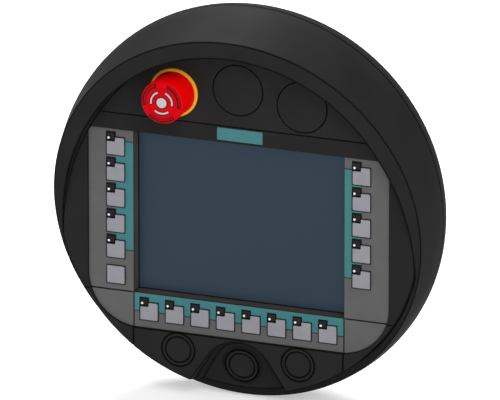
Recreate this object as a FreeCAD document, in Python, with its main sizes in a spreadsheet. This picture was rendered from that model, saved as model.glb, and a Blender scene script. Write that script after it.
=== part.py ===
import FreeCAD, Part
import math
import operator
import os
import types

import Sketcher
from FreeCAD import Placement, Rotation, Vector

# Round hand-held operator panel.
# X runs to the right, Y runs back from the front plane (the depth) and Z runs up.
# Pieces are drawn with depth 0 on the front plane; the Placement of each one moves the
# finished panel back so that the row's origin is the centre of its flat back.

DIMENSIONS = {
    # Shells, turned about the panel's axis
    "rim_radius": 145,
    "parting_depth": 28,
    "front_draft": 14.6,
    "front_blend": 62.6,
    "front_reach": 34,
    "rear_blend": 37,
    "rear_draft": 50,
    "rest_depth": 77.5,
    "back_fillet": 6,
    "rim_wall": 11.5,
    "parting_groove": 0.45,
    "floor_thickness": 5,
    "plate_thickness": 3,
    "seam_gap": 0.15,
    "panel_gap": 0.45,
    # Tilted land of the collar and the collar's inner outline
    "land_offset": 3.6,
    "land_slope": 0.15,
    "collar_inset": 20.3,
    "collar_bulge": 20.7,
    "collar_drop": 4.3,
    "shoulder_angle": 37.65,
    "block_inset": 7.6,
    # Front frame in the bore of the front shell
    "frame_depth": 20,
    "frame_wall": 2,
    "ledge_width": 3,
    "ledge_thickness": 3,
    # Window, bezel and screen
    "window_width": 159.6,
    "window_height": 121.8,
    "window_drop": 10.2,
    "bezel_wall": 2.2,
    "bezel_flange": 3,
    "screen_recess": 11,
    "glass_thickness": 1.8,
    "module_thickness": 11.2,
    "module_inset": 2.2,
    # Membranes
    "membrane_inset": 30.8,
    "membrane_corner": 38,
    "membrane_chamfer_width": 2.4,
    "membrane_chamfer_height": 3.6,
    "membrane_recess": 1.6,
    "film_thickness": 0.5,
    "header_height": 12,
    "bottom_band": 26.3,
    # Keys with their lamp tiles
    "key_width": 13.2,
    "key_height": 13,
    "key_pitch": 19.4,
    "key_rise": 1.6,
    "key_gap": 0.4,
    "key_travel": 0.5,
    "key_end_gap": 0.3,
    "key_flange": 0.8,
    "key_corner": 0.8,
    "key_edge": 0.3,
    "column_gap": 13.35,
    "column_top": 47.9,
    "row_drop": 13.2,
    "tile_width": 6.5,
    "tile_height": 6,
    "tile_overlap": 2.7,
    "tile_side": 0.7,
    "tile_thickness": 0.45,
    "lamp_radius": 0.95,
    "lamp_side": 1.8,
    "lamp_drop": 0.9,
    "lamp_rise": 0.15,
    "lamp_gap": 0.1,
    "board_thickness": 1.6,
    "key_board_width": 18.6,
    "key_board_margin": 1.8,
    # Upper operator area
    "upper_inset": 61.1,
    "estop_offset": 48.2,
    "plug_offset": 48.5,
    "middle_plug_inset": 54.1,
    "plug_radius": 19,
    "plug_flange": 2.5,
    "plug_flange_thickness": 2,
    # Emergency stop
    "ring_radius": 18,
    "ring_proud": 2,
    "cup_radius": 16.9,
    "cup_wall": 0.8,
    "cup_back": 10,
    "cup_floor": 2,
    "cup_gap": 0.1,
    "head_gap": 0.35,
    "head_front": 25.5,
    "head_round": 2.2,
    "head_skirt": 3,
    "head_wall": 2.6,
    "head_cap": 8,
    "hub_radius": 7,
    "hub_back": 4,
    "pin_radius": 3,
    "pin_gap": 0.05,
    "pin_length": 10,
    "stem_radius": 4,
    "stem_gap": 0.5,
    "stem_back": 22,
    "shoulder_radius": 6,
    "shoulder_depth": 2,
    "stop_travel": 4,
    "stop_end_gap": 1,
    "mark_depth": 0.5,
    "mark_dot": 3.7,
    "mark_inner": 7.9,
    "mark_outer": 9.3,
    "mark_angle": 62,
    "dish_inner": 12.2,
    "dish_outer": 14.2,
    "dish_depth": 0.7,
    "dish_angle": 72,
    "line_radius": 10.6,
    "line_width": 0.5,
    "line_depth": 0.4,
    "stop_nut_wall": 4,
    "stop_nut_thickness": 4,
    "stop_block": 30,
    "stop_block_back": 30,
    # Round buttons and the arch niche
    "button_offset": 45.5,
    "button_inset": 34.85,
    "bezel_radius": 12.45,
    "bezel_ring": 2.6,
    "button_gap": 0.3,
    "bezel_foot": 1.2,
    "bezel_foot_thickness": 1.5,
    "bezel_back": 14,
    "cap_depth": 6,
    "cap_dish": 0.5,
    "cap_edge": 0.4,
    "cap_stem_radius": 3,
    "cap_flange": 1,
    "cap_flange_depth": 1.4,
    "button_travel": 2.5,
    "button_end_gap": 0.5,
    "button_block": 18,
    "button_block_depth": 12,
    "niche_offset": 5.1,
    "niche_radius": 21.2,
    "niche_inset": 21.1,
    "niche_taper": 31.6,
    "niche_flare": 60,
    "niche_wall": 4,
    "niche_button_inset": 24.5,
    "boss_rise": 1.1,
    "boss_skirt": 2.4,
    "boss_flank": 2,
    # Inside of the front frame
    "boss_radius": 5,
    "upper_boss_inset": 33,
    "lower_boss_inset": 19,
    "screw_radius": 2,
    "screw_gap": 0.2,
    "thread_gap": 0.05,
    "thread_end": 1,
    "screw_head_radius": 3.6,
    "screw_head_height": 3,
    "screw_length": 20,
    "counterbore_radius": 4.5,
    "counterbore_wall": 2,
    "screw_seat": 6,
    "seal_inset": 8.8,
    "seal_width": 2.6,
    "seal_depth": 1.5,
    "carrier_thickness": 1.5,
    "carrier_overhang": 1.5,
    "carrier_post_radius": 3.6,
    "carrier_post_inset": 3,
    "carrier_post_margin": 4.2,
    "carrier_screw_radius": 1.5,
    "carrier_screw_length": 9,
    "carrier_screw_head": 2.8,
    "carrier_screw_rise": 1.8,
    "standoff_height": 3.5,
    "main_board_width": 140,
    "main_board_height": 100,
    "standoff_radius": 3,
    "standoff_inset": 6,
    "terminal_width": 60,
    "terminal_height": 14,
    "terminal_depth": 16,
    "terminal_ways": 8,
    "terminal_hole": 2,
    # Rear shell
    "rear_floor": 10,
    "well_inner": 60,
    "well_rim": 27,
    "well_half": 60,
    "well_depth": 44,
    "well_corner": 12,
    "hub_width": 88,
    "hub_height": 160,
    "back_wall": 6,
    "cover_width": 78,
    "cover_height": 120,
    "cover_lip": 9,
    "cover_thickness": 3,
    "cover_gap": 0.2,
    "cover_corner": 6,
    "cover_screw_radius": 1.5,
    "cover_screw_head": 2.8,
    "cover_screw_sink": 1.6,
    "cover_screw_length": 6,
    "channel_width": 30,
    "channel_top": 86,
    "channel_depth": 49,
    "gland_depth": 60,
    "gland_radius": 8,
    "gland_bore": 4,
    "gland_hex": 11.4,
    "gland_hex_length": 6,
    "gland_cap_radius": 9.6,
    "gland_cap_length": 12,
    "gland_round": 1.5,
    "gland_thread_length": 11,
    "locknut_hex": 12,
    "locknut_thickness": 4,
    "enable_length": 70,
    "enable_width": 17,
    "enable_depth": 59,
    "enable_proud": 7,
    "enable_tail": 6,
    "enable_travel": 5,
    "enable_end_gap": 2,
    "enable_gap": 0.4,
    "enable_round": 2.5,
}

# Eleven keys stand in two columns and eight in the bottom row
LEFT_LAMP_KEYS = 5
LEFT_KEYS = 6
RIGHT_KEYS = 5
BOTTOM_KEYS = 8
THIRDS = 3
QUARTER_TURN = 90

doc = FreeCAD.newDocument("operator_panel")
sheet = doc.addObject("Spreadsheet::Sheet", "Dims")
for row, (alias, amount) in enumerate(DIMENSIONS.items(), start=1):
    sheet.set(f"A{row}", alias)
    sheet.set(f"B{row}", str(amount))
    sheet.setAlias(f"B{row}", alias)
doc.recompute()

OPERATORS = {"+": operator.add, "-": operator.sub, "*": operator.mul, "/": operator.truediv}


class Size:
    """A number together with the sheet expression that gives it."""

    def __init__(self, value, text):
        self.value = value
        self.text = text

    def __add__(self, other):
        return join(self, "+", other)

    def __radd__(self, other):
        return join(other, "+", self)

    def __sub__(self, other):
        return join(self, "-", other)

    def __rsub__(self, other):
        return join(other, "-", self)

    def __mul__(self, other):
        return join(self, "*", other)

    def __rmul__(self, other):
        return join(other, "*", self)

    def __truediv__(self, other):
        return join(self, "/", other)

    def __neg__(self):
        return join(0, "-", self)


def as_size(amount):
    return amount if isinstance(amount, Size) else Size(amount, f"({amount})")


def join(left, sign, right):
    left = as_size(left)
    right = as_size(right)
    return Size(OPERATORS[sign](left.value, right.value), f"({left.text} {sign} {right.text})")


def root(amount):
    return Size(math.sqrt(amount.value), f"sqrt({amount.text})")


def sine(angle):
    return Size(math.sin(math.radians(angle.value)), f"sin({angle.text} * 1 deg)")


def cosine(angle):
    return Size(math.cos(math.radians(angle.value)), f"cos({angle.text} * 1 deg)")


def half_chord(radius, height):
    """Half the width of a circle at this height above its centre."""
    return root(radius * radius - height * height)


S = types.SimpleNamespace(**{alias: Size(amount, f"Dims.{alias}") for alias, amount in DIMENSIONS.items()})
NODES = []

# The land leans back at the bottom by this angle
LEAN = f"atan({S.land_slope.text})"
LEAN_COSINE = Size(math.cos(math.atan(S.land_slope.value)), f"cos({LEAN})")
LEAN_SINE = Size(math.sin(math.atan(S.land_slope.value)), f"sin({LEAN})")


# Drawing helpers

def bind(target, path, amount):
    target.setExpression(path, as_size(amount).text)


def new_body(label, is_node=True):
    body = doc.addObject("PartDesign::Body", label)
    body.Label = label
    if is_node:
        NODES.append(body)
    return body


def place(piece, x=0, depth=0, z=0):
    """Put a piece at a point of the panel, in the row's own frame."""
    bind(piece, "Placement.Base.x", x)
    bind(piece, "Placement.Base.y", depth - S.rest_depth)
    bind(piece, "Placement.Base.z", z)


def place_in_group(piece, x=0, depth=0, z=0):
    """Put a piece of a group at a point of the panel; the group itself is placed last."""
    bind(piece, "Placement.Base.x", x)
    bind(piece, "Placement.Base.y", depth)
    bind(piece, "Placement.Base.z", z)


def tilt(piece):
    """Turn a piece so that its depth runs square to the land."""
    piece.Placement = Placement(Vector(), Rotation(Vector(1, 0, 0), 1))
    piece.setExpression("Placement.Rotation.Angle", LEAN)


def group(label, pieces):
    node = doc.addObject("Part::Compound", label)
    node.Label = label
    node.Links = pieces
    place(node)
    NODES.append(node)


def new_sketch(body, name, role, offset=0):
    sketch = body.newObject("Sketcher::SketchObject", name)
    support = next(plane for plane in body.Origin.OriginFeatures if plane.Role == role)
    sketch.AttachmentSupport = (support, [""])
    sketch.MapMode = "FlatFace"
    bind(sketch, "AttachmentOffset.Base.z", offset)
    return sketch


def front_sketch(body, name, depth=0):
    """A sketch seen from the front: its x is X and its y is Z."""
    return new_sketch(body, name, "XZ_Plane", -as_size(depth))


def tilted_sketch(body, name, depth, z=0):
    """A front sketch parallel to the land, with its origin at this depth and height."""
    sketch = front_sketch(body, name, depth)
    sketch.AttachmentOffset = Placement(Vector(), Rotation(Vector(1, 0, 0), 1))
    sketch.setExpression("AttachmentOffset.Rotation.Angle", LEAN)
    bind(sketch, "AttachmentOffset.Base.y", z)
    return sketch


def arc_between(start, finish, radius, turn):
    """The short arc from start to finish, turning left (1) or right (-1)."""
    chord = finish - start
    rise = math.sqrt(max(radius ** 2 - (chord.Length / 2) ** 2, 0))
    across = Vector(-chord.y, chord.x, 0).normalize()
    centre = (start + finish) / 2 + across * rise * turn
    first, last = (start, finish) if turn > 0 else (finish, start)
    angles = [math.atan2(end.y - centre.y, end.x - centre.x) for end in (first, last)]
    return Part.ArcOfCircle(Part.Circle(centre, Vector(0, 0, 1), radius), *angles)


def pin_point(geometry, position, x, y):
    """The constraints that hold a point at its place, with the sizes that drive them."""
    held = []
    for kind, axis, amount in (("DistanceX", -2, as_size(x)), ("DistanceY", -1, as_size(y))):
        if abs(amount.value) < 1e-9:
            held.append((Sketcher.Constraint("PointOnObject", geometry, position, axis), None))
        else:
            held.append((Sketcher.Constraint(kind, -1, 1, geometry, position, amount.value), amount))
    return held


def hold(sketch, held):
    """Add constraints to a sketch and bind those that have a size."""
    numbers = sketch.addConstraint([constraint for constraint, _ in held])
    for number, (_, amount) in zip(numbers, held):
        if amount is not None:
            bind(sketch, f"Constraints[{number}]", amount)


def draw(sketch, points, arcs=None):
    """Draw a closed outline; arcs gives (radius, turn) for the segments that are round."""
    arcs = arcs or {}
    corners = [Vector(as_size(x).value, as_size(y).value, 0) for x, y in points]
    segments = []
    for number, start in enumerate(corners):
        finish = corners[(number + 1) % len(corners)]
        if number in arcs:
            radius, turn = arcs[number]
            curve = arc_between(start, finish, as_size(radius).value, turn)
            segments.append((sketch.addGeometry(curve, False), 1 if turn > 0 else 2))
        else:
            segments.append((sketch.addGeometry(Part.LineSegment(start, finish), False), 1))
    held = []
    for number, (geometry, first) in enumerate(segments):
        following, following_first = segments[(number + 1) % len(segments)]
        closing = Sketcher.Constraint("Coincident", geometry, 3 - first, following, following_first)
        held.append((closing, None))
        held += pin_point(geometry, first, *points[number])
        if number in arcs:
            radius = as_size(arcs[number][0])
            held.append((Sketcher.Constraint("Radius", geometry, radius.value), radius))
    hold(sketch, held)
    return sketch


def draw_circle(sketch, x, y, radius):
    radius = as_size(radius)
    centre = Vector(as_size(x).value, as_size(y).value, 0)
    circle = sketch.addGeometry(Part.Circle(centre, Vector(0, 0, 1), radius.value), False)
    hold(sketch, pin_point(circle, 3, x, y) + [(Sketcher.Constraint("Radius", circle, radius.value), radius)])
    return sketch


def draw_rectangle(sketch, left, bottom, right, top):
    return draw(sketch, [(left, bottom), (right, bottom), (right, top), (left, top)])


def draw_slot(sketch, x, y, length, width):
    """A slot with round ends, long way up."""
    side = width / 2
    end = length / 2 - side
    points = [(x + side, y - end), (x + side, y + end), (x - side, y + end), (x - side, y - end)]
    radius = side * 1.0000001
    return draw(sketch, points, {1: (radius, 1), 3: (radius, 1)})


def draw_hexagon(sketch, x, y, corner_radius):
    points = []
    for number in range(6):
        angle = math.radians(60 * number)
        points.append((x + corner_radius * math.cos(angle), y + corner_radius * math.sin(angle)))
    return draw(sketch, points)


# Features; a front sketch faces the viewer, so its pads and pockets run back

def pad(body, sketch, length, reverse=True, taper=None):
    feature = body.newObject("PartDesign::Pad", "Pad")
    feature.Profile = sketch
    feature.Reversed = reverse
    bind(feature, "Length", length)
    if taper is not None:
        feature.setExpression("TaperAngle", taper)
    return feature


def pocket(body, sketch, length, reverse=False, both_ways=False, taper=None):
    feature = body.newObject("PartDesign::Pocket", "Pocket")
    feature.Profile = sketch
    feature.Reversed = reverse
    feature.Midplane = both_ways
    bind(feature, "Length", length)
    if taper is not None:
        feature.setExpression("TaperAngle", taper)
    return feature


def lathe(body, points, arcs=None):
    """A turned piece; points are (radius, depth)."""
    sketch = draw(new_sketch(body, "Profile", "XY_Plane"), points, arcs)
    feature = body.newObject("PartDesign::Revolution", "Revolution")
    feature.Profile = sketch
    feature.ReferenceAxis = (sketch, ["V_Axis"])
    feature.Angle = 360
    return feature


def edges_where(body, test):
    doc.recompute()
    edges = enumerate(body.Tip.Shape.Edges, start=1)
    return [f"Edge{number}" for number, edge in edges if test(edge)]


def fillet(body, radius, test):
    names = edges_where(body, test)
    base = body.Tip
    feature = body.newObject("PartDesign::Fillet", "Fillet")
    feature.Base = (base, names)
    bind(feature, "Radius", radius)


def chamfer(body, size, test):
    names = edges_where(body, test)
    base = body.Tip
    feature = body.newObject("PartDesign::Chamfer", "Chamfer")
    feature.Base = (base, names)
    bind(feature, "Size", size)


def sample(edge):
    """Five points along an edge."""
    first, last = edge.ParameterRange
    return [edge.valueAt(first + (last - first) * step / 4) for step in range(5)]


def runs_back(edge):
    """True for a straight edge along the depth."""
    ends = sample(edge)
    return abs(ends[0].x - ends[4].x) < 1e-6 and abs(ends[0].z - ends[4].z) < 1e-6


def at_depth(edge, depth):
    return all(abs(point.y - as_size(depth).value) < 1e-4 for point in sample(edge))


# Places that several pieces share

COLLAR_TOP = S.rim_radius - S.collar_inset
COLLAR_SIDE = S.rim_radius + S.collar_bulge
SIDE_CENTRE_X = -(COLLAR_SIDE - COLLAR_TOP) * cosine(S.shoulder_angle)
SIDE_CENTRE_Z = -S.collar_drop - (COLLAR_SIDE - COLLAR_TOP) * sine(S.shoulder_angle)
BLOCK_RADIUS = S.rim_radius - S.block_inset
FRAME_RADIUS = BLOCK_RADIUS - S.panel_gap
LEDGE_BACK = S.frame_depth + S.ledge_thickness
CAVITY_RADIUS = S.rim_radius - S.rim_wall
SEAL_INNER = S.rim_radius - S.seal_inset
WINDOW_SIDE = S.window_width / 2
WINDOW_TOP = S.window_height / 2 - S.window_drop
WINDOW_BOTTOM = -S.window_height / 2 - S.window_drop
UPPER_LINE = WINDOW_TOP + S.header_height
MEMBRANE_SIDE = S.rim_radius - S.membrane_inset
MEMBRANE_BOTTOM = WINDOW_BOTTOM - S.bottom_band
CORNER_X = MEMBRANE_SIDE - S.membrane_corner
CORNER_Z = MEMBRANE_BOTTOM + S.membrane_corner
FILM_BACK = S.membrane_recess + S.film_thickness
KEY_TOP = S.membrane_recess - S.key_rise
KEY_BACK = S.floor_thickness - S.key_travel - S.key_end_gap
COLUMN_X = WINDOW_SIDE + S.column_gap
COLUMN_TOP = S.column_top - S.window_drop
ROW_Z = WINDOW_BOTTOM - S.row_drop
TILE_LEFT = -S.key_width / 2 - S.tile_side
BEZEL_SIDE = WINDOW_SIDE + S.bezel_wall
BEZEL_TOP = WINDOW_TOP + S.bezel_wall
BEZEL_BOTTOM = WINDOW_BOTTOM - S.bezel_wall
FLANGE_SIDE = BEZEL_SIDE + S.bezel_flange
FLANGE_TOP = BEZEL_TOP + S.bezel_flange
FLANGE_BOTTOM = BEZEL_BOTTOM - S.bezel_flange
MODULE_BACK = S.screen_recess + S.glass_thickness + S.module_thickness
CARRIER_BACK = MODULE_BACK + S.carrier_thickness
BOARD_FRONT = CARRIER_BACK + S.standoff_height
BOARD_BACK = BOARD_FRONT + S.board_thickness
POST_TOP = FLANGE_TOP + S.carrier_post_margin
POST_BOTTOM = FLANGE_BOTTOM - S.carrier_post_margin
HOLE_RADIUS = S.bezel_radius + S.panel_gap / 2
NICHE_FRONT = -S.land_offset - S.niche_offset
NICHE_BUTTON_DROP = S.rim_radius - S.niche_button_inset
NICHE_BUTTON_Z = -NICHE_BUTTON_DROP * LEAN_COSINE - S.boss_rise * LEAN_SINE
NICHE_BUTTON_DEPTH = NICHE_FRONT + NICHE_BUTTON_DROP * LEAN_SINE - S.boss_rise * LEAN_COSINE
REAR_FLOOR = S.parting_depth + S.rear_floor
HUB_BACK = S.rest_depth - S.back_wall
COVER_SEAT = S.rest_depth - S.cover_thickness
SCREW_SEAT = S.parting_depth + S.screw_seat
UPPER_SCREW = (S.rim_radius - S.upper_boss_inset) * math.sqrt(0.5)
LOWER_SCREW = (S.rim_radius - S.lower_boss_inset) * math.sqrt(0.5)
ENABLE_ROOM = S.enable_tail + S.enable_travel + S.enable_end_gap
COVER_SCREW_SEAT = S.rest_depth - S.cover_screw_sink
FOUR_CORNERS = [(1, 1), (-1, 1), (-1, -1), (1, -1)]
BOTH_SIDES = [(-1, "left"), (1, "right")]


def key_x(number):
    return (number - (BOTTOM_KEYS - 1) / 2) * S.key_pitch


def column_z(number):
    return COLUMN_TOP - number * S.key_pitch


LEFT_PLACES = [(-COLUMN_X, column_z(number)) for number in range(LEFT_KEYS)]
RIGHT_PLACES = [(COLUMN_X, column_z(number)) for number in range(RIGHT_KEYS)]
BOTTOM_PLACES = [(key_x(number), ROW_Z) for number in range(BOTTOM_KEYS)]
LAMP_PLACES = LEFT_PLACES[:LEFT_LAMP_KEYS] + RIGHT_PLACES + BOTTOM_PLACES


# Outlines that several pieces share

def collar_outline(inset=0):
    """The collar's inner wall above and a round edge about the axis below, moved in by inset."""
    top = COLLAR_TOP - inset
    side = COLLAR_SIDE - inset
    foot = BLOCK_RADIUS - inset
    shoulder_x = top * cosine(S.shoulder_angle)
    shoulder_z = top * sine(S.shoulder_angle) - S.collar_drop
    # Where the arc of the side, about its own centre, meets the round edge
    reach = root(SIDE_CENTRE_X * SIDE_CENTRE_X + SIDE_CENTRE_Z * SIDE_CENTRE_Z)
    along = (foot * foot - side * side + reach * reach) / (2 * reach)
    across = half_chord(foot, along)
    corner_x = (along * SIDE_CENTRE_X - across * SIDE_CENTRE_Z) / reach
    corner_z = (along * SIDE_CENTRE_Z + across * SIDE_CENTRE_X) / reach
    points = [(corner_x, corner_z), (shoulder_x, shoulder_z)]
    points += [(-shoulder_x, shoulder_z), (-corner_x, corner_z)]
    return points, {0: (side, 1), 1: (top, 1), 2: (side, 1), 3: (foot, 1)}


def upper_outline(gap):
    """The upper operator area, inside the collar and above the header line."""
    top = COLLAR_TOP - gap
    side = COLLAR_SIDE - gap
    line = UPPER_LINE + gap
    shoulder_x = top * cosine(S.shoulder_angle)
    shoulder_z = top * sine(S.shoulder_angle) - S.collar_drop
    line_x = SIDE_CENTRE_X + half_chord(side, line - SIDE_CENTRE_Z)
    points = [(line_x, line), (shoulder_x, shoulder_z), (-shoulder_x, shoulder_z), (-line_x, line)]
    return points, {0: (side, 1), 1: (top, 1), 2: (side, 1)}


def membrane_outline():
    """The recess of the two side membranes, across the window."""
    seam_x = CORNER_X + half_chord(S.membrane_corner, CORNER_Z - WINDOW_BOTTOM)
    right = [(seam_x, WINDOW_BOTTOM), (MEMBRANE_SIDE, CORNER_Z)]
    right.append((MEMBRANE_SIDE, WINDOW_TOP - S.membrane_chamfer_height))
    right.append((MEMBRANE_SIDE - S.membrane_chamfer_width, WINDOW_TOP))
    left = [(-x, z) for x, z in reversed(right)]
    return right + left, {0: (S.membrane_corner, 1), 6: (S.membrane_corner, 1)}


def side_film_outline(side):
    """One side membrane, from the window's edge outwards."""
    corner = S.membrane_corner - S.seam_gap
    edge = MEMBRANE_SIDE - S.seam_gap
    foot = WINDOW_BOTTOM + S.seam_gap
    seam_x = CORNER_X + half_chord(corner, CORNER_Z - foot)
    top = WINDOW_TOP - S.seam_gap
    points = [(WINDOW_SIDE, foot), (seam_x, foot), (edge, CORNER_Z)]
    points += [(edge, top - S.membrane_chamfer_height), (edge - S.membrane_chamfer_width, top)]
    points.append((WINDOW_SIDE, top))
    return [(side * x, z) for x, z in points], {1: (corner, side)}


def corner_film_outline(side, gap):
    """The grey field of a corner cover."""
    corner = S.membrane_corner - gap
    inner = WINDOW_SIDE + S.panel_gap / 2
    top = WINDOW_BOTTOM - S.panel_gap
    seam_x = CORNER_X + half_chord(corner, CORNER_Z - top)
    foot_z = CORNER_Z - half_chord(corner, inner - CORNER_X)
    points = [(inner, foot_z), (seam_x, top), (inner, top)]
    return [(side * x, z) for x, z in points], {0: (corner, side)}


def corner_cover_outline(side):
    inner = WINDOW_SIDE + S.panel_gap / 2
    top = WINDOW_BOTTOM - S.panel_gap
    points = [(inner, -half_chord(FRAME_RADIUS, inner)), (half_chord(FRAME_RADIUS, top), top), (inner, top)]
    return [(side * x, z) for x, z in points], {0: (FRAME_RADIUS, side)}


def niche_outline(grow, foot_radius):
    """The arch of the niche: a round head with flared sides, down to a round foot."""
    radius = S.niche_radius + grow
    side_x = radius * sine(S.niche_flare)
    side_z = radius * cosine(S.niche_flare) - S.rim_radius + S.niche_inset
    # Where the flared side, which leaves the head at its tangent, meets the foot's circle
    along = side_x * cosine(S.niche_flare) - side_z * sine(S.niche_flare)
    run = root(along * along - side_x * side_x - side_z * side_z + foot_radius * foot_radius) - along
    foot_x = side_x + run * cosine(S.niche_flare)
    foot_z = side_z - run * sine(S.niche_flare)
    points = [(side_x, side_z), (-side_x, side_z), (-foot_x, foot_z), (foot_x, foot_z)]
    return points, {0: (radius, 1), 2: (foot_radius, 1)}


def key_outline(x, z, gap, has_lamp):
    """A key seen from the front, grown by gap, with a notch at the top left for its lamp tile."""
    side = S.key_width / 2 + gap
    top = z + S.key_height / 2 + gap
    bottom = z - S.key_height / 2 - gap
    if not has_lamp:
        return [(x - side, bottom), (x + side, bottom), (x + side, top), (x - side, top)]
    notch_x = x + TILE_LEFT + S.tile_width + S.key_gap - gap
    notch_z = z + S.key_height / 2 - S.tile_overlap - S.key_gap + gap
    points = [(x - side, bottom), (x + side, bottom), (x + side, top), (notch_x, top)]
    return points + [(notch_x, notch_z), (x - side, notch_z)]


def cut_key_holes(body, places, depth, length, gap=S.key_gap):
    sketch = front_sketch(body, "KeyHoles", depth)
    for place_of_key in places:
        draw(sketch, key_outline(*place_of_key, gap, place_of_key in LAMP_PLACES))
    pocket(body, sketch, length)


def cut_holes(body, places, radius, depth, length):
    sketch = front_sketch(body, "Holes", depth)
    for x, z in places:
        draw_circle(sketch, x, z, radius)
    pocket(body, sketch, length)


def cut_niche(body):
    """Cut the arch niche: its floor is parallel to the land and its walls flare to the front."""
    sketch = draw(tilted_sketch(body, "Niche", NICHE_FRONT), *niche_outline(0, S.rim_radius + S.rim_wall))
    pocket(body, sketch, S.front_reach, reverse=True, taper=S.niche_taper.text)


UPPER_Z = S.rim_radius - S.upper_inset
ESTOP_PLACE = (-S.estop_offset, UPPER_Z)
PLUG_PLACES = [(S.plug_offset, UPPER_Z), (0, S.rim_radius - S.middle_plug_inset)]
BUTTON_Z = S.button_inset - S.rim_radius
SIDE_BUTTON_PLACES = [(-S.button_offset, BUTTON_Z), (S.button_offset, BUTTON_Z)]
SCREW_PLACES = [(UPPER_SCREW, UPPER_SCREW), (-UPPER_SCREW, UPPER_SCREW),
                (-LOWER_SCREW, -LOWER_SCREW), (LOWER_SCREW, -LOWER_SCREW)]
COVER_SCREW_PLACES = [(right * (S.cover_width - S.cover_lip) / 2, up * (S.cover_height - S.cover_lip) / 2)
                      for right, up in FOUR_CORNERS]
POST_PLACES = [(right * (FLANGE_SIDE - S.carrier_post_inset), POST_TOP if up > 0 else POST_BOTTOM)
               for right, up in FOUR_CORNERS]


# Front shell: a turned drum cut by the tilted land, which leaves the collar, with a bore for the frame

def make_front_housing():
    body = new_body("front_housing")
    blend_x = S.rim_radius - S.front_blend * (1 - cosine(S.front_draft))
    blend_y = S.parting_depth - S.front_blend * sine(S.front_draft)
    taper = sine(S.front_draft) / cosine(S.front_draft)
    mouth_x = blend_x - (blend_y + S.front_reach) * taper
    profile = [(0, -S.front_reach), (mouth_x, -S.front_reach), (blend_x, blend_y)]
    profile += [(S.rim_radius, S.parting_depth), (0, S.parting_depth)]
    lathe(body, profile, {2: (S.front_blend, 1)})
    chamfer(body, S.parting_groove, lambda edge: at_depth(edge, S.parting_depth))

    # The land: everything in front of a plane that leans back at the bottom goes
    beyond = S.rim_radius + S.rim_wall
    lean = S.land_slope * beyond
    ahead = -S.front_reach - S.land_offset - lean
    sketch = new_sketch(body, "Land", "YZ_Plane")
    draw(sketch, [(-S.land_offset - lean, beyond), (ahead, beyond), (ahead, -beyond),
                  (lean - S.land_offset, -beyond)])
    pocket(body, sketch, 2 * beyond, both_ways=True)

    # The bore with the ledge that the frame rests on, and the wider cavity behind it
    bore = draw(front_sketch(body, "Bore", -2 * S.front_reach), *collar_outline())
    pocket(body, bore, 2 * S.front_reach + S.frame_depth)
    throat = draw(front_sketch(body, "Throat", S.frame_depth), *collar_outline(S.ledge_width))
    pocket(body, throat, S.parting_depth - S.frame_depth)
    cavity = draw_circle(front_sketch(body, "Cavity", LEDGE_BACK), 0, 0, CAVITY_RADIUS)
    pocket(body, cavity, S.parting_depth - LEDGE_BACK)

    # The groove for the seal
    groove = draw_circle(front_sketch(body, "Groove", S.parting_depth - S.seal_depth), 0, 0, SEAL_INNER)
    draw_circle(groove, 0, 0, SEAL_INNER + S.seal_width)
    pocket(body, groove, S.seal_depth)
    place(body)


# Front frame: a tray that fills the bore and carries everything on the front

def make_front_frame():
    body = new_body("front_frame")
    pad(body, draw(front_sketch(body, "Block"), *collar_outline(S.panel_gap)), S.frame_depth)

    # Recesses for the upper panel, the lower covers and the membranes
    pocket(body, draw(front_sketch(body, "UpperSeat"), *upper_outline(0)), S.plate_thickness)
    low = front_sketch(body, "LowerSeat")
    draw_rectangle(low, -S.rim_radius, -S.rim_radius, S.rim_radius, WINDOW_BOTTOM)
    pocket(body, low, S.plate_thickness)
    pocket(body, draw(front_sketch(body, "MembraneSeat"), *membrane_outline()), FILM_BACK)

    # Hollow back with bosses for the housing screws, the carrier posts and the niche's tub
    hollow = front_sketch(body, "Hollow", S.floor_thickness)
    draw(hollow, *collar_outline(S.panel_gap + S.frame_wall))
    pocket(body, hollow, S.frame_depth - S.floor_thickness)
    bosses = front_sketch(body, "Bosses", S.floor_thickness)
    for x, z in SCREW_PLACES:
        draw_circle(bosses, x, z, S.boss_radius)
    pad(body, bosses, S.parting_depth - S.floor_thickness)
    posts = front_sketch(body, "Posts", S.floor_thickness)
    for x, z in POST_PLACES:
        draw_circle(posts, x, z, S.carrier_post_radius)
    pad(body, posts, MODULE_BACK - S.floor_thickness)
    foot_radius = FRAME_RADIUS - S.frame_wall / 2
    tub = draw(front_sketch(body, "Tub", S.floor_thickness), *niche_outline(S.niche_wall, foot_radius))
    pad(body, tub, S.frame_depth - S.floor_thickness)
    cut_niche(body)

    # Openings
    window = front_sketch(body, "Window", FILM_BACK)
    draw_rectangle(window, -BEZEL_SIDE - S.seam_gap, BEZEL_BOTTOM - S.seam_gap,
                   BEZEL_SIDE + S.seam_gap, BEZEL_TOP + S.seam_gap)
    pocket(body, window, S.floor_thickness)
    for places in (LEFT_PLACES, RIGHT_PLACES, BOTTOM_PLACES):
        cut_key_holes(body, places, 0, S.plate_thickness)
        cut_key_holes(body, places, S.plate_thickness, S.floor_thickness, S.key_flange + S.key_gap)
    cut_holes(body, [ESTOP_PLACE], S.cup_radius + S.cup_gap, 0, S.floor_thickness)
    cut_holes(body, PLUG_PLACES, S.plug_radius, 0, S.floor_thickness)
    cut_holes(body, SIDE_BUTTON_PLACES, HOLE_RADIUS, 0, S.floor_thickness)
    cut_niche_button(body)

    # Threads for the screws
    thread_end = SCREW_SEAT - S.screw_length - S.thread_end
    cut_holes(body, SCREW_PLACES, S.screw_radius + S.thread_gap, thread_end, S.parting_depth)
    thread_end = CARRIER_BACK - S.carrier_screw_length - S.thread_end
    cut_holes(body, POST_PLACES, S.carrier_screw_radius + S.thread_gap, thread_end, S.parting_depth)
    place(body)


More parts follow.
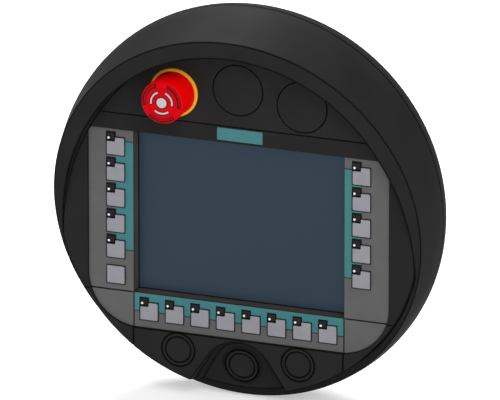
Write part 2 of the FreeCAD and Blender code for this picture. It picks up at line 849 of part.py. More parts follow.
def cut_niche_button(body):
    """The cone, the hole and the seat behind it for the button in the niche, square to the land."""
    cone = tilted_sketch(body, "Cone", NICHE_BUTTON_DEPTH + S.boss_rise * LEAN_COSINE,
                         NICHE_BUTTON_Z + S.boss_rise * LEAN_SINE)
    draw_circle(cone, 0, 0, S.bezel_radius + S.boss_skirt)
    pad(body, cone, S.boss_rise, reverse=False, taper=f"-atan({S.boss_flank.text})")
    hole = tilted_sketch(body, "ButtonHole", NICHE_BUTTON_DEPTH, NICHE_BUTTON_Z)
    pocket(body, draw_circle(hole, 0, 0, HOLE_RADIUS), S.parting_depth)
    seat = tilted_sketch(body, "ButtonSeat", NICHE_BUTTON_DEPTH + S.floor_thickness * LEAN_COSINE,
                         NICHE_BUTTON_Z + S.floor_thickness * LEAN_SINE)
    draw_circle(seat, 0, 0, S.bezel_radius + S.bezel_foot + S.button_gap)
    pocket(body, seat, S.parting_depth)


def make_seal():
    """The flat ring between the two shells, in a groove of the front shell."""
    body = new_body("housing_seal")
    inner = SEAL_INNER + S.seam_gap
    outer = SEAL_INNER + S.seal_width - S.seam_gap
    front = S.parting_depth - S.seal_depth
    lathe(body, [(inner, front), (outer, front), (outer, S.parting_depth), (inner, S.parting_depth)])
    place(body)


# Plates of the front: upper panel, lower centre panel and corner covers

def make_upper_panel():
    body = new_body("upper_panel")
    pad(body, draw(front_sketch(body, "Plate"), *upper_outline(S.panel_gap)), S.plate_thickness)
    cut_holes(body, [ESTOP_PLACE], S.cup_radius + S.cup_gap, 0, S.plate_thickness)
    cut_holes(body, PLUG_PLACES, S.plug_radius, 0, S.plate_thickness)
    place(body)


def make_lower_centre_panel():
    body = new_body("lower_center_panel")
    side = WINDOW_SIDE - S.panel_gap / 2
    top = BEZEL_BOTTOM - S.seam_gap
    foot = -half_chord(FRAME_RADIUS, side)
    plate = front_sketch(body, "Plate")
    draw(plate, [(side, foot), (side, top), (-side, top), (-side, foot)], {3: (FRAME_RADIUS, 1)})
    pad(body, plate, S.plate_thickness)
    seat = front_sketch(body, "MembraneSeat")
    draw_rectangle(seat, -WINDOW_SIDE, MEMBRANE_BOTTOM, WINDOW_SIDE, WINDOW_BOTTOM)
    pocket(body, seat, FILM_BACK)
    cut_key_holes(body, BOTTOM_PLACES, 0, S.plate_thickness)
    cut_holes(body, SIDE_BUTTON_PLACES, HOLE_RADIUS, 0, S.plate_thickness)
    cut_niche(body)
    place(body)


def make_corner_cover(side, name):
    body = new_body(f"{name}_corner_cover")
    pad(body, draw(front_sketch(body, "Plate"), *corner_cover_outline(side)), S.plate_thickness)
    pocket(body, draw(front_sketch(body, "MembraneSeat"), *corner_film_outline(side, 0)), FILM_BACK)
    notch = front_sketch(body, "BezelNotch", FILM_BACK)
    edge = BEZEL_SIDE + S.seam_gap
    draw(notch, [(0, BEZEL_BOTTOM - S.seam_gap), (side * edge, BEZEL_BOTTOM - S.seam_gap),
                 (side * edge, 0), (0, 0)])
    pocket(body, notch, S.plate_thickness)
    place(body)


# Membranes: thin films with holes for the keys

def make_side_membrane(side, name, places):
    body = new_body(f"{name}_membrane")
    film = draw(front_sketch(body, "Film", S.membrane_recess), *side_film_outline(side))
    pad(body, film, S.film_thickness)
    cut_key_holes(body, places, S.membrane_recess, S.film_thickness)
    place(body)


def make_bottom_membrane():
    body = new_body("bottom_membrane")
    film = front_sketch(body, "Film", S.membrane_recess)
    side = WINDOW_SIDE - S.panel_gap / 2
    draw_rectangle(film, -side, MEMBRANE_BOTTOM + S.seam_gap, side, WINDOW_BOTTOM)
    pad(body, film, S.film_thickness)
    cut_key_holes(body, BOTTOM_PLACES, S.membrane_recess, S.film_thickness)
    place(body)


def make_corner_membranes():
    films = []
    for side, name in BOTH_SIDES:
        body = new_body(f"{name}_corner_film", is_node=False)
        film = front_sketch(body, "Film", S.membrane_recess)
        pad(body, draw(film, *corner_film_outline(side, S.seam_gap)), S.film_thickness)
        films.append(body)
    group("corner_membranes", films)


# Keys, lamp tiles and lamps

def make_key(label, x, z, has_lamp):
    body = new_body(label)
    cap = draw(front_sketch(body, "Cap"), key_outline(0, 0, 0, has_lamp))
    pad(body, cap, KEY_BACK - KEY_TOP)
    fillet(body, S.key_corner, runs_back)
    chamfer(body, S.key_edge, lambda edge: at_depth(edge, 0))
    flange_front = S.plate_thickness + S.key_gap
    flange = front_sketch(body, "Flange", flange_front - KEY_TOP)
    pad(body, draw(flange, key_outline(0, 0, S.key_flange, has_lamp)), KEY_BACK - flange_front)
    place(body, x, KEY_TOP, z)


def make_keys():
    for number, (x, z) in enumerate(LEFT_PLACES, start=1):
        make_key(f"left_key_{number}", x, z, number <= LEFT_LAMP_KEYS)
    for number, (x, z) in enumerate(RIGHT_PLACES, start=1):
        make_key(f"right_key_{number}", x, z, True)
    for number, (x, z) in enumerate(BOTTOM_PLACES, start=1):
        make_key(f"bottom_key_{number}", x, z, True)


def make_lamp_tiles():
    tiles = []
    lamps = []
    tile_z = S.key_height / 2 - S.tile_overlap
    lamp_x = TILE_LEFT + S.lamp_side
    lamp_z = S.key_height / 2 - S.lamp_drop
    front = S.membrane_recess - S.tile_thickness
    for number, (x, z) in enumerate(LAMP_PLACES, start=1):
        tile = new_body(f"tile_{number}", is_node=False)
        plate = front_sketch(tile, "Tile")
        draw_rectangle(plate, TILE_LEFT, tile_z, TILE_LEFT + S.tile_width, tile_z + S.tile_height)
        draw_circle(plate, lamp_x, lamp_z, S.lamp_radius + S.lamp_gap)
        pad(tile, plate, S.tile_thickness)
        place_in_group(tile, x, front, z)
        tiles.append(tile)
        lamp = new_body(f"lamp_{number}", is_node=False)
        spot = draw_circle(front_sketch(lamp, "Lamp"), 0, 0, S.lamp_radius)
        pad(lamp, spot, S.lamp_rise + S.tile_thickness)
        place_in_group(lamp, x + lamp_x, front - S.lamp_rise, z + lamp_z)
        lamps.append(lamp)
    group("key_lamp_tiles", tiles)
    group("key_lamps", lamps)


# Screen stack: bezel, touch screen, display module, carrier plate and main board

def make_screen_bezel():
    body = new_body("screen_bezel")
    wall = front_sketch(body, "Wall", FILM_BACK)
    draw_rectangle(wall, -BEZEL_SIDE, BEZEL_BOTTOM, BEZEL_SIDE, BEZEL_TOP)
    pad(body, wall, S.screen_recess - FILM_BACK)
    flange = front_sketch(body, "Flange", S.floor_thickness)
    draw_rectangle(flange, -FLANGE_SIDE, FLANGE_BOTTOM, FLANGE_SIDE, FLANGE_TOP)
    pad(body, flange, S.screen_recess - S.floor_thickness)
    window = front_sketch(body, "Window", FILM_BACK)
    draw_rectangle(window, -WINDOW_SIDE, WINDOW_BOTTOM, WINDOW_SIDE, WINDOW_TOP)
    pocket(body, window, S.screen_recess)
    place(body)


def make_plate(label, left, bottom, right, top, front, thickness):
    body = new_body(label)
    plate = front_sketch(body, "Plate", front)
    draw_rectangle(plate, left, bottom, right, top)
    pad(body, plate, thickness)
    place(body)
    return body


def make_screen():
    make_plate("touch_screen", -FLANGE_SIDE, FLANGE_BOTTOM, FLANGE_SIDE, FLANGE_TOP,
               S.screen_recess, S.glass_thickness)
    inset = S.module_inset
    make_plate("display_module", inset - FLANGE_SIDE, FLANGE_BOTTOM + inset, FLANGE_SIDE - inset,
               FLANGE_TOP - inset, S.screen_recess + S.glass_thickness, S.module_thickness)


def make_carrier():
    """A sheet-metal plate that clamps the display module and carries the main board."""
    edge = S.carrier_post_radius
    side = FLANGE_SIDE + S.carrier_overhang
    body = make_plate("carrier_plate", -side, POST_BOTTOM - edge, side, POST_TOP + edge,
                      MODULE_BACK, S.carrier_thickness)
    standoffs = front_sketch(body, "Standoffs", CARRIER_BACK)
    for right, up in FOUR_CORNERS:
        x = right * (S.main_board_width / 2 - S.standoff_inset)
        z = up * (S.main_board_height / 2 - S.standoff_inset) - S.window_drop
        draw_circle(standoffs, x, z, S.standoff_radius)
    pad(body, standoffs, S.standoff_height)
    cut_holes(body, POST_PLACES, S.carrier_screw_radius + S.screw_gap, MODULE_BACK, S.carrier_thickness)
    board_side = S.main_board_width / 2
    board_half = S.main_board_height / 2
    make_plate("main_board", -board_side, -board_half - S.window_drop, board_side, board_half - S.window_drop,
               BOARD_FRONT, S.board_thickness)


def make_terminal_block():
    body = make_plate("terminal_block", -S.terminal_width / 2, -S.terminal_height / 2 - S.window_drop,
                      S.terminal_width / 2, S.terminal_height / 2 - S.window_drop,
                      BOARD_BACK, S.terminal_depth)
    pitch = S.terminal_width / S.terminal_ways
    ways = front_sketch(body, "Ways", BOARD_BACK + S.terminal_depth / 2)
    count = DIMENSIONS["terminal_ways"]
    for number in range(count):
        draw_circle(ways, (number - (count - 1) / 2) * pitch, -S.window_drop, S.terminal_hole)
    pocket(body, ways, S.terminal_depth)


def make_key_boards():
    boards = []
    board_top = COLUMN_TOP + S.key_height / 2 + S.key_board_margin
    inner = FLANGE_SIDE + 2 * S.seam_gap
    for side, name, count in ((-1, "left", LEFT_KEYS), (1, "right", RIGHT_KEYS)):
        foot = column_z(count - 1) - S.key_height / 2 - S.key_board_margin
        body = new_body(f"{name}_key_board", is_node=False)
        plate = front_sketch(body, "Board", S.floor_thickness)
        draw(plate, [(side * inner, foot), (side * (inner + S.key_board_width), foot),
                     (side * (inner + S.key_board_width), board_top), (side * inner, board_top)])
        pad(body, plate, S.board_thickness)
        boards.append(body)
    body = new_body("bottom_key_board", is_node=False)
    plate = front_sketch(body, "Board", S.floor_thickness)
    half_row = key_x(BOTTOM_KEYS - 1) + S.key_width / 2
    draw_rectangle(plate, -half_row, ROW_Z - S.key_height / 2 - S.key_board_margin,
                   half_row, FLANGE_BOTTOM - 2 * S.seam_gap)
    pad(body, plate, S.board_thickness)
    boards.append(body)
    group("key_boards", boards)


# Emergency stop: collar, nut, contact block, stem, head and the white marks on the head

def make_estop():
    x, z = ESTOP_PLACE
    head_radius = S.cup_radius - S.cup_wall - S.head_gap
    cup_inner = S.cup_radius - S.cup_wall
    cup_floor = S.cup_back - S.cup_floor
    stem_hole = S.stem_radius + S.stem_gap

    collar = new_body("estop_collar")
    lathe(collar, [(cup_inner, -S.ring_proud), (S.ring_radius - S.ring_proud / 2, -S.ring_proud),
                   (S.ring_radius, -S.ring_proud / 2), (S.ring_radius, 0), (S.cup_radius, 0),
                   (S.cup_radius, S.cup_back), (stem_hole, S.cup_back), (stem_hole, cup_floor),
                   (cup_inner, cup_floor)])
    place(collar, x, 0, z)

    nut = new_body("estop_nut")
    front = S.floor_thickness
    ring = draw_hexagon(front_sketch(nut, "Hexagon", front), 0, 0, S.cup_radius + S.stop_nut_wall)
    draw_circle(ring, 0, 0, S.cup_radius + S.cup_gap)
    pad(nut, ring, S.stop_nut_thickness)
    place(nut, x, 0, z)

    block = new_body("estop_contact_block")
    half = S.stop_block / 2
    sketch = front_sketch(block, "Block", S.cup_back)
    draw_rectangle(sketch, -half, -half, half, half)
    pad(block, sketch, S.stop_block_back - S.cup_back)
    shaft = draw_circle(front_sketch(block, "Shaft", S.cup_back), 0, 0, S.shoulder_radius + S.stem_gap)
    pocket(block, shaft, S.stem_back + S.stop_travel + S.stop_end_gap - S.cup_back)
    place(block, x, 0, z)

    stem = new_body("estop_stem")
    pin_front = -S.hub_back - S.pin_length
    shoulder_front = S.cup_back + S.stem_gap
    shoulder_back = shoulder_front + S.shoulder_depth
    lathe(stem, [(0, pin_front), (S.pin_radius, pin_front), (S.pin_radius, -S.hub_back),
                 (S.stem_radius, -S.hub_back), (S.stem_radius, shoulder_front),
                 (S.shoulder_radius, shoulder_front), (S.shoulder_radius, shoulder_back),
                 (S.stem_radius, shoulder_back), (S.stem_radius, S.stem_back), (0, S.stem_back)])
    place(stem, x, 0, z)

    head = new_body("estop_head")
    cap_back = S.head_cap - S.head_front
    hole = S.pin_radius + S.pin_gap
    hole_end = pin_front - S.pin_gap
    lathe(head, [(0, -S.head_front), (head_radius - S.head_round, -S.head_front),
                 (head_radius, S.head_round - S.head_front), (head_radius, S.head_skirt),
                 (head_radius - S.head_wall, S.head_skirt), (head_radius - S.head_wall, cap_back),
                 (S.hub_radius, cap_back), (S.hub_radius, -S.hub_back), (hole, -S.hub_back),
                 (hole, hole_end), (0, hole_end)],
          {1: (S.head_round, 1)})
    marks = front_sketch(head, "Marks", -S.head_front)
    draw_marks(marks)
    pocket(head, marks, S.mark_depth)
    grips = front_sketch(head, "Grips", -S.head_front)
    draw_arcs(grips, S.dish_inner, S.dish_outer, S.dish_angle, -QUARTER_TURN)
    pocket(head, grips, S.dish_depth)
    line = front_sketch(head, "Line", -S.head_front)
    draw_circle(line, 0, 0, S.line_radius)
    draw_circle(line, 0, 0, S.line_radius + S.line_width)
    pocket(head, line, S.line_depth)
    place(head, x, 0, z)

    paint = new_body("estop_marks")
    pad(paint, draw_marks(front_sketch(paint, "Marks", -S.head_front)), S.mark_depth)
    place(paint, x, 0, z)


def draw_arcs(sketch, inner, outer, angle, first):
    """Three ring pieces, a third of a turn apart."""
    for number in range(THIRDS):
        middle = first + 360 * number / THIRDS
        low = middle - angle / 2
        high = middle + angle / 2
        points = [(inner * cosine(low), inner * sine(low)), (outer * cosine(low), outer * sine(low)),
                  (outer * cosine(high), outer * sine(high)), (inner * cosine(high), inner * sine(high))]
        draw(sketch, points, {1: (outer, 1), 3: (inner, -1)})
    return sketch


def draw_marks(sketch):
    """The white dot and the three white ring pieces round it."""
    draw_circle(sketch, 0, 0, S.mark_dot)
    return draw_arcs(sketch, S.mark_inner, S.mark_outer, S.mark_angle, -QUARTER_TURN)


# Blanking plugs of the upper panel

def make_plugs():
    radius = S.plug_radius - S.panel_gap
    rim = S.plug_radius + S.plug_flange
    back = S.floor_thickness + S.plug_flange_thickness
    plugs = []
    for number, (x, z) in enumerate(PLUG_PLACES, start=1):
        body = new_body(f"plug_{number}", is_node=False)
        lathe(body, [(0, 0), (radius, 0), (radius, S.floor_thickness), (rim, S.floor_thickness), (rim, back),
                     (0, back)])
        place_in_group(body, x, 0, z)
        plugs.append(body)
    group("blanking_plugs", plugs)


# Round buttons: bezels, caps and contact blocks; the middle one stands in the niche

def lathe_bezel(label):
    body = new_body(label, is_node=False)
    inner = S.bezel_radius - S.bezel_ring
    outer = S.bezel_radius - S.panel_gap / 2
    foot = S.bezel_radius + S.bezel_foot
    foot_back = S.floor_thickness + S.bezel_foot_thickness
    step = S.cap_depth - S.cap_flange_depth - S.button_gap
    lathe(body, [(inner, 0), (outer, 0), (outer, S.floor_thickness), (foot, S.floor_thickness),
                 (foot, foot_back), (outer, foot_back), (outer, S.bezel_back),
                 (inner + S.cap_flange, S.bezel_back), (inner + S.cap_flange, step), (inner, step)])
    return body


def lathe_cap(label):
    body = new_body(label)
    radius = S.bezel_radius - S.bezel_ring - S.button_gap
    stem_back = S.bezel_back - S.button_travel - S.button_end_gap
    flange_front = S.cap_depth - S.cap_flange_depth
    rim = radius - S.cap_edge
    bowl = (rim * rim + S.cap_dish * S.cap_dish) / (2 * S.cap_dish)
    lathe(body, [(0, S.cap_dish), (rim, 0), (radius, S.cap_edge), (radius, flange_front),
                 (radius + S.cap_flange, flange_front), (radius + S.cap_flange, S.cap_depth),
                 (S.cap_stem_radius, S.cap_depth), (S.cap_stem_radius, stem_back), (0, stem_back)],
          {0: (bowl, -1)})
    return body


def pad_button_block(label):
    body = new_body(label, is_node=False)
    half = S.button_block / 2
    sketch = front_sketch(body, "Block", S.bezel_back)
    draw_rectangle(sketch, -half, -half, half, half)
    pad(body, sketch, S.button_block_depth)
    return body


def make_round_buttons():
    bezels = []
    blocks = []
    places = [("left", -S.button_offset, 0, BUTTON_Z), ("right", S.button_offset, 0, BUTTON_Z),
              ("center", 0, NICHE_BUTTON_DEPTH, NICHE_BUTTON_Z)]
    for name, x, depth, z in places:
        bezel = lathe_bezel(f"{name}_bezel")
        block = pad_button_block(f"{name}_contact_block")
        cap = lathe_cap(f"{name}_button_cap")
        if name == "center":
            for piece in (bezel, block, cap):
                tilt(piece)
        place_in_group(bezel, x, depth, z)
        place_in_group(block, x, depth, z)
        place(cap, x, depth, z)
        bezels.append(bezel)
        blocks.append(block)
    group("button_bezels", bezels)
    group("button_contact_blocks", blocks)


# Rear shell with the finger wells, the cable channel and the terminal opening

def make_rear_housing():
    body = new_body("rear_housing")
    blend_x = S.rim_radius - S.rear_blend * (1 - cosine(S.rear_draft))
    blend_y = S.parting_depth + S.rear_blend * sine(S.rear_draft)
    taper = sine(S.rear_draft) / cosine(S.rear_draft)
    back_x = blend_x - (S.rest_depth - blend_y) * taper
    profile = [(0, S.parting_depth), (S.rim_radius, S.parting_depth), (blend_x, blend_y)]
    profile += [(back_x, S.rest_depth), (0, S.rest_depth)]
    lathe(body, profile, {1: (S.rear_blend, 1)})
    chamfer(body, S.parting_groove, lambda edge: at_depth(edge, S.parting_depth))
    fillet(body, S.back_fillet, lambda edge: at_depth(edge, S.rest_depth))

    # Hollow front, with bosses for the housing screws, and the hub behind it
    cavity = draw_circle(front_sketch(body, "Cavity", S.parting_depth), 0, 0, CAVITY_RADIUS)
    pocket(body, cavity, S.rear_floor)
    bosses = front_sketch(body, "Bosses", S.parting_depth)
    for x, z in SCREW_PLACES:
        draw_circle(bosses, x, z, S.counterbore_radius + S.counterbore_wall)
    pad(body, bosses, S.rear_floor)
    hub = front_sketch(body, "Hub", REAR_FLOOR)
    draw_rectangle(hub, -S.hub_width / 2, -S.hub_height / 2, S.hub_width / 2, S.hub_height / 2)
    pocket(body, hub, HUB_BACK - REAR_FLOOR)

    # Finger wells with the slots of the enabling buttons
    wells = front_sketch(body, "Wells", S.well_depth)
    well_radius = S.rim_radius - S.well_rim
    arc_x = half_chord(well_radius, S.well_half)
    for side, _ in BOTH_SIDES:
        points = [(S.well_inner, -S.well_half), (arc_x, -S.well_half)]
        points += [(arc_x, S.well_half), (S.well_inner, S.well_half)]
        draw(wells, [(side * x, z) for x, z in points], {1: (well_radius, side)})
    pocket(body, wells, S.rest_depth)
    fillet(body, S.well_corner, is_well_corner)
    for side, _ in BOTH_SIDES:
        slot = new_sketch(body, "EnablingSlot", "YZ_Plane", side * (S.well_inner - ENABLE_ROOM))
        around = 2 * S.enable_gap
        draw_slot(slot, S.enable_depth, 0, S.enable_length + around, S.enable_width + around)
        pocket(body, slot, ENABLE_ROOM, reverse=side > 0)

    # Channel for the cable and the hole of its gland
    channel = front_sketch(body, "Channel", S.channel_depth)
    draw_rectangle(channel, -S.channel_width / 2, -S.rim_radius, S.channel_width / 2, -S.channel_top)
    pocket(body, channel, S.rest_depth)
    gland = new_sketch(body, "GlandHole", "XY_Plane", -S.channel_top)
    draw_circle(gland, 0, S.gland_depth, S.gland_radius + S.screw_gap)
    pocket(body, gland, S.channel_top - S.hub_height / 2, reverse=True)

    # Terminal opening with the seat of its cover
    seat = front_sketch(body, "CoverSeat", COVER_SEAT)
    draw_rectangle(seat, -S.cover_width / 2, -S.cover_height / 2, S.cover_width / 2, S.cover_height / 2)
    pocket(body, seat, S.cover_thickness)
    fillet(body, S.cover_corner, is_cover_corner)
    opening = front_sketch(body, "Opening", HUB_BACK)
    half_width = S.cover_width / 2 - S.cover_lip
    half_height = S.cover_height / 2 - S.cover_lip
    draw_rectangle(opening, -half_width, -half_height, half_width, half_height)
    pocket(body, opening, S.back_wall)
    cut_holes(body, COVER_SCREW_PLACES, S.cover_screw_radius + S.thread_gap, HUB_BACK, S.back_wall)

    # Housing screws
    cut_holes(body, SCREW_PLACES, S.screw_radius + S.screw_gap, S.parting_depth, S.screw_seat)
    cut_holes(body, SCREW_PLACES, S.counterbore_radius, SCREW_SEAT, S.rest_depth)
    place(body)


def is_well_corner(edge):
    """True for the upright corners of the two finger wells."""
    middle = sample(edge)[2]
    return (runs_back(edge) and abs(abs(middle.z) - S.well_half.value) < 1e-4
            and abs(middle.x) > S.well_inner.value - 1e-4)


def is_cover_corner(edge):
    """True for the upright corners of the cover's seat."""
    middle = sample(edge)[2]
    return (runs_back(edge) and abs(abs(middle.x) - S.cover_width.value / 2) < 1e-4
            and abs(abs(middle.z) - S.cover_height.value / 2) < 1e-4)


def make_enabling_buttons():
    for side, name in BOTH_SIDES:
        body = new_body(f"{name}_enabling_button")
        near = S.well_inner - S.enable_tail
        far = S.well_inner + S.enable_proud
        sketch = new_sketch(body, "Profile", "YZ_Plane", near if side > 0 else -far)
        draw_slot(sketch, S.enable_depth, 0, S.enable_length, S.enable_width)
        pad(body, sketch, S.enable_tail + S.enable_proud, reverse=False)
        fillet(body, S.enable_round, lambda edge: abs(sample(edge)[2].x - side * far.value) < 1e-4
               and abs(sample(edge)[0].x - side * far.value) < 1e-4)
        place(body)


# Cover of the terminal opening and the screws

def make_terminal_cover():
    body = new_body("terminal_cover")
    half_width = S.cover_width / 2 - S.cover_gap
    half_height = S.cover_height / 2 - S.cover_gap
    plate = front_sketch(body, "Plate", COVER_SEAT)
    draw_rectangle(plate, -half_width, -half_height, half_width, half_height)
    pad(body, plate, S.cover_thickness)
    fillet(body, S.cover_corner - S.cover_gap, runs_back)
    cut_holes(body, COVER_SCREW_PLACES, S.cover_screw_radius + S.screw_gap, COVER_SEAT, S.cover_thickness)
    cut_holes(body, COVER_SCREW_PLACES, S.cover_screw_head + S.screw_gap, COVER_SCREW_SEAT, S.cover_thickness)
    place(body)


def make_screws(label, places, seat, radius, length, head_radius, head_height):
    """A set of equal screws, put in from the back, each with a hexagon socket."""
    screws = []
    for number, (x, z) in enumerate(places, start=1):
        screw = new_body(f"{label}_{number}", is_node=False)
        lathe(screw, [(0, -length), (radius, -length), (radius, 0), (head_radius, 0),
                      (head_radius, head_height), (0, head_height)])
        socket = front_sketch(screw, "Socket", head_height / 2)
        pocket(screw, draw_hexagon(socket, 0, 0, radius), head_height)
        place_in_group(screw, x, seat, z)
        screws.append(screw)
    group(label, screws)


def make_all_screws():
    make_screws("housing_screws", SCREW_PLACES, SCREW_SEAT, S.screw_radius, S.screw_length,
                S.screw_head_radius, S.screw_head_height)
    make_screws("carrier_screws", POST_PLACES, CARRIER_BACK, S.carrier_screw_radius, S.carrier_screw_length,
                S.carrier_screw_head, S.carrier_screw_rise)
    make_screws("cover_screws", COVER_SCREW_PLACES, COVER_SCREW_SEAT, S.cover_screw_radius,
                S.cover_screw_length, S.cover_screw_head, S.cover_screw_sink)


# Cable gland, seen along its own axis, which points down

def round_pad(body, name, height, radius, length):
    sketch = new_sketch(body, name, "XY_Plane", height)
    pad(body, draw_circle(sketch, 0, 0, radius), length, reverse=False)


def make_gland():
    gland = new_body("cable_gland")
    round_pad(gland, "Thread", 0, S.gland_radius, S.gland_thread_length)
    hexagon = new_sketch(gland, "Hexagon", "XY_Plane", -S.gland_hex_length)
    pad(gland, draw_hexagon(hexagon, 0, 0, S.gland_hex), S.gland_hex_length, reverse=False)
    foot = -S.gland_hex_length - S.gland_cap_length
    round_pad(gland, "Cap", foot, S.gland_cap_radius, S.gland_cap_length)
    fillet(gland, S.gland_round, lambda edge: abs(sample(edge)[0].z - foot.value) < 1e-4)
    bore = new_sketch(gland, "Bore", "XY_Plane", foot)
    pocket(gland, draw_circle(bore, 0, 0, S.gland_bore), S.gland_thread_length - foot, reverse=True)
    place(gland, 0, S.gland_depth, -S.channel_top)

    nut = new_body("gland_locknut")
    ring = draw_hexagon(new_sketch(nut, "Hexagon", "XY_Plane", 0), 0, 0, S.locknut_hex)
    draw_circle(ring, 0, 0, S.gland_radius + S.thread_gap)
    pad(nut, ring, S.locknut_thickness, reverse=False)
    place(nut, 0, S.gland_depth, -S.hub_height / 2)


# Build every piece
make_front_housing()
make_front_frame()
make_rear_housing()
make_seal()
make_upper_panel()
make_lower_centre_panel()
for side, name in BOTH_SIDES:
    make_corner_cover(side, name)
make_side_membrane(-1, "left", LEFT_PLACES)
make_side_membrane(1, "right", RIGHT_PLACES)
make_bottom_membrane()
make_corner_membranes()
make_keys()
make_lamp_tiles()
make_screen_bezel()
make_screen()
make_carrier()
make_terminal_block()
make_key_boards()
make_estop()
make_plugs()
make_round_buttons()
make_enabling_buttons()
make_terminal_cover()
make_all_screws()
make_gland()
doc.recompute()

# Check everything, then write one file for each piece
for item in doc.Objects:
    if "Invalid" in item.State or "Error" in item.State:
        raise RuntimeError(f"{item.Label} did not build: {item.State}")
for node in NODES:
    if node.Shape.isNull() or not node.Shape.isValid():
        raise RuntimeError(f"{node.Label} has no valid shape")
os.makedirs("parts", exist_ok=True)
for node in NODES:
    node.Shape.exportStep(os.path.join("parts", f"{node.Label}.step"))
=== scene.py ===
import math
from collections import namedtuple

import bmesh
import bpy
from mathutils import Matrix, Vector


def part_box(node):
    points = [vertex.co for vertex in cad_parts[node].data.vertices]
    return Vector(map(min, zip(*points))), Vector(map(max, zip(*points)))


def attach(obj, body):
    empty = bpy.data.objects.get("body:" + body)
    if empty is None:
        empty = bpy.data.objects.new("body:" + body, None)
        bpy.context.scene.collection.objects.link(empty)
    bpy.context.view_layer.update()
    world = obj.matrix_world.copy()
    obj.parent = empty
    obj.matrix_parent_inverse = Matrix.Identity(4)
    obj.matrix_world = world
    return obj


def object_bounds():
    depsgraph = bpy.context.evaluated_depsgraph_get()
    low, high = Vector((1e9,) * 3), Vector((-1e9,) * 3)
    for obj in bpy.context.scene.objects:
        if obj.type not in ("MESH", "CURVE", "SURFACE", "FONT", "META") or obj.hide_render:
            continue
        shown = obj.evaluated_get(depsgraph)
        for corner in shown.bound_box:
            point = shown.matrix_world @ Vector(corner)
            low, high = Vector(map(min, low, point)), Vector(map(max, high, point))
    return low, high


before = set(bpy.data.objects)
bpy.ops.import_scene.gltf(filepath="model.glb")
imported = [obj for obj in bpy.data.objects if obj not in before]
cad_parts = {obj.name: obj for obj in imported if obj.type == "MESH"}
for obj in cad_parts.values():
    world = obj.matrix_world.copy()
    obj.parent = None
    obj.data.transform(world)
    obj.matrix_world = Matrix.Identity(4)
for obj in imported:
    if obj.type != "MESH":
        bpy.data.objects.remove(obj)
cad_low, cad_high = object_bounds()

# Sizes in metres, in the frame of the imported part: X right, Y back, Z up
MM = 0.001
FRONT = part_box("upper_panel")[0].y
HOUSING = "housing"
BUTTON_CAPS = ["left_button_cap", "center_button_cap", "right_button_cap"]

# Viewing direction in degrees and scale of the photograph, with a long lens for its parallel view
AZIMUTH = 20.5
ELEVATION = 19.5
FRAME_WIDTH = 355.1 * MM
LENS = 1000
SENSOR = 36
AIM = Vector((0, FRONT, -9.3 * MM))
AIM_RIGHT = 8.59 * MM
AIM_UP = 16.97 * MM
CLIP_START = 0.1
CLIP_DISTANCES = 4

# Floor and world
FLOOR_HEIGHT = cad_low.z
FLOOR_REACH = 6.0
FLOOR_TONE = 0.75
FLOOR_LIFT = 0.4
WORLD_STRENGTH = 0.65

# Places on the membranes
KEY_FLANGE = 0.8 * MM
TILE_SIDE = 0.7 * MM
TILE_WIDTH = 6.5 * MM
TILE_HEIGHT = 6 * MM
TILE_OVERLAP = 2.7 * MM
STRIP_TOP = 41.2 * MM
STRIP_FOOT = -39.8 * MM
BAND_FOOT = -84.6 * MM

# Dark print on the membranes: lines, and how far the frames reach past keys and lamp tiles; round the keys
# the frames reach further left and down as a painted drop shadow
LINE_WIDTH = 0.8 * MM
JOINT_WIDTH = 0.3 * MM
KEY_SHADOW_REACH = 1.3 * MM
KEY_REACH_HIGH = 0.4 * MM
TILE_REACH = 0.4 * MM
COLUMN_TILE_REACH = 0.9 * MM

# Widths of the dark edge lines, and the places where they change
EDGE_WIDTH = 1.1 * MM
SMALL_EDGE = 0.3 * MM
HOUSING_EDGE = 1.9 * MM
COLLAR_EDGE = 3 * MM
COLLAR_REACH = 130 * MM
COLLAR_CENTRE = -4.3 * MM
PANEL_EDGE = 0.75 * MM
FRAME_EDGE = 0.5 * MM
LOWER_PANEL_EDGE = 1.5 * MM
NICHE_EDGE = 1.9 * MM
NICHE_TOP = -93 * MM
CAP_MIDDLE = 5 * MM

# Cosine between the rounded and the plain normal where an edge line is full, and where it ends
EDGE_FULL = 0.97
EDGE_END = 0.998
EDGE_SAMPLES = 6
EDGE_SHADE = 0.03

# Opening of the window, with the dark line round the screen
WINDOW_SIDE = 79.8 * MM
WINDOW_TOP = 50.7 * MM
WINDOW_FOOT = -71.1 * MM
SCREEN_LINE = 0.8 * MM
SCREEN_LINE_SHADE = 0.4

# Face of the emergency stop: a dot, and arcs from radius to radius with half their angle in degrees
Arcs = namedtuple("Arcs", "inner outer half_angle")
ARC_COUNT = 3
MARK_ARCS = Arcs(7.3 * MM, 8.6 * MM, 40)
MARK_RIMS = Arcs(6.65 * MM, 9.25 * MM, 44)
RECESS_ARCS = Arcs(12.6 * MM, 13.9 * MM, 39)
RECESS_RIMS = Arcs(11.9 * MM, 14.6 * MM, 43)
DOT_RADIUS = 3.8 * MM
DOT_RIM_RADIUS = 4.6 * MM
STOP_FACE_DEPTH = 1.2 * MM

# Bare plate in the header strip above the screen
PLATE_WIDTH = 34.5 * MM
PLATE_HEIGHT = 9.3 * MM
PLATE_PROUD = 0.35 * MM
PLATE_CORNER = 0.9 * MM
PLATE_EDGE = 0.15 * MM
PLATE_CENTRE = Vector((1.5 * MM, FRONT, 57 * MM))

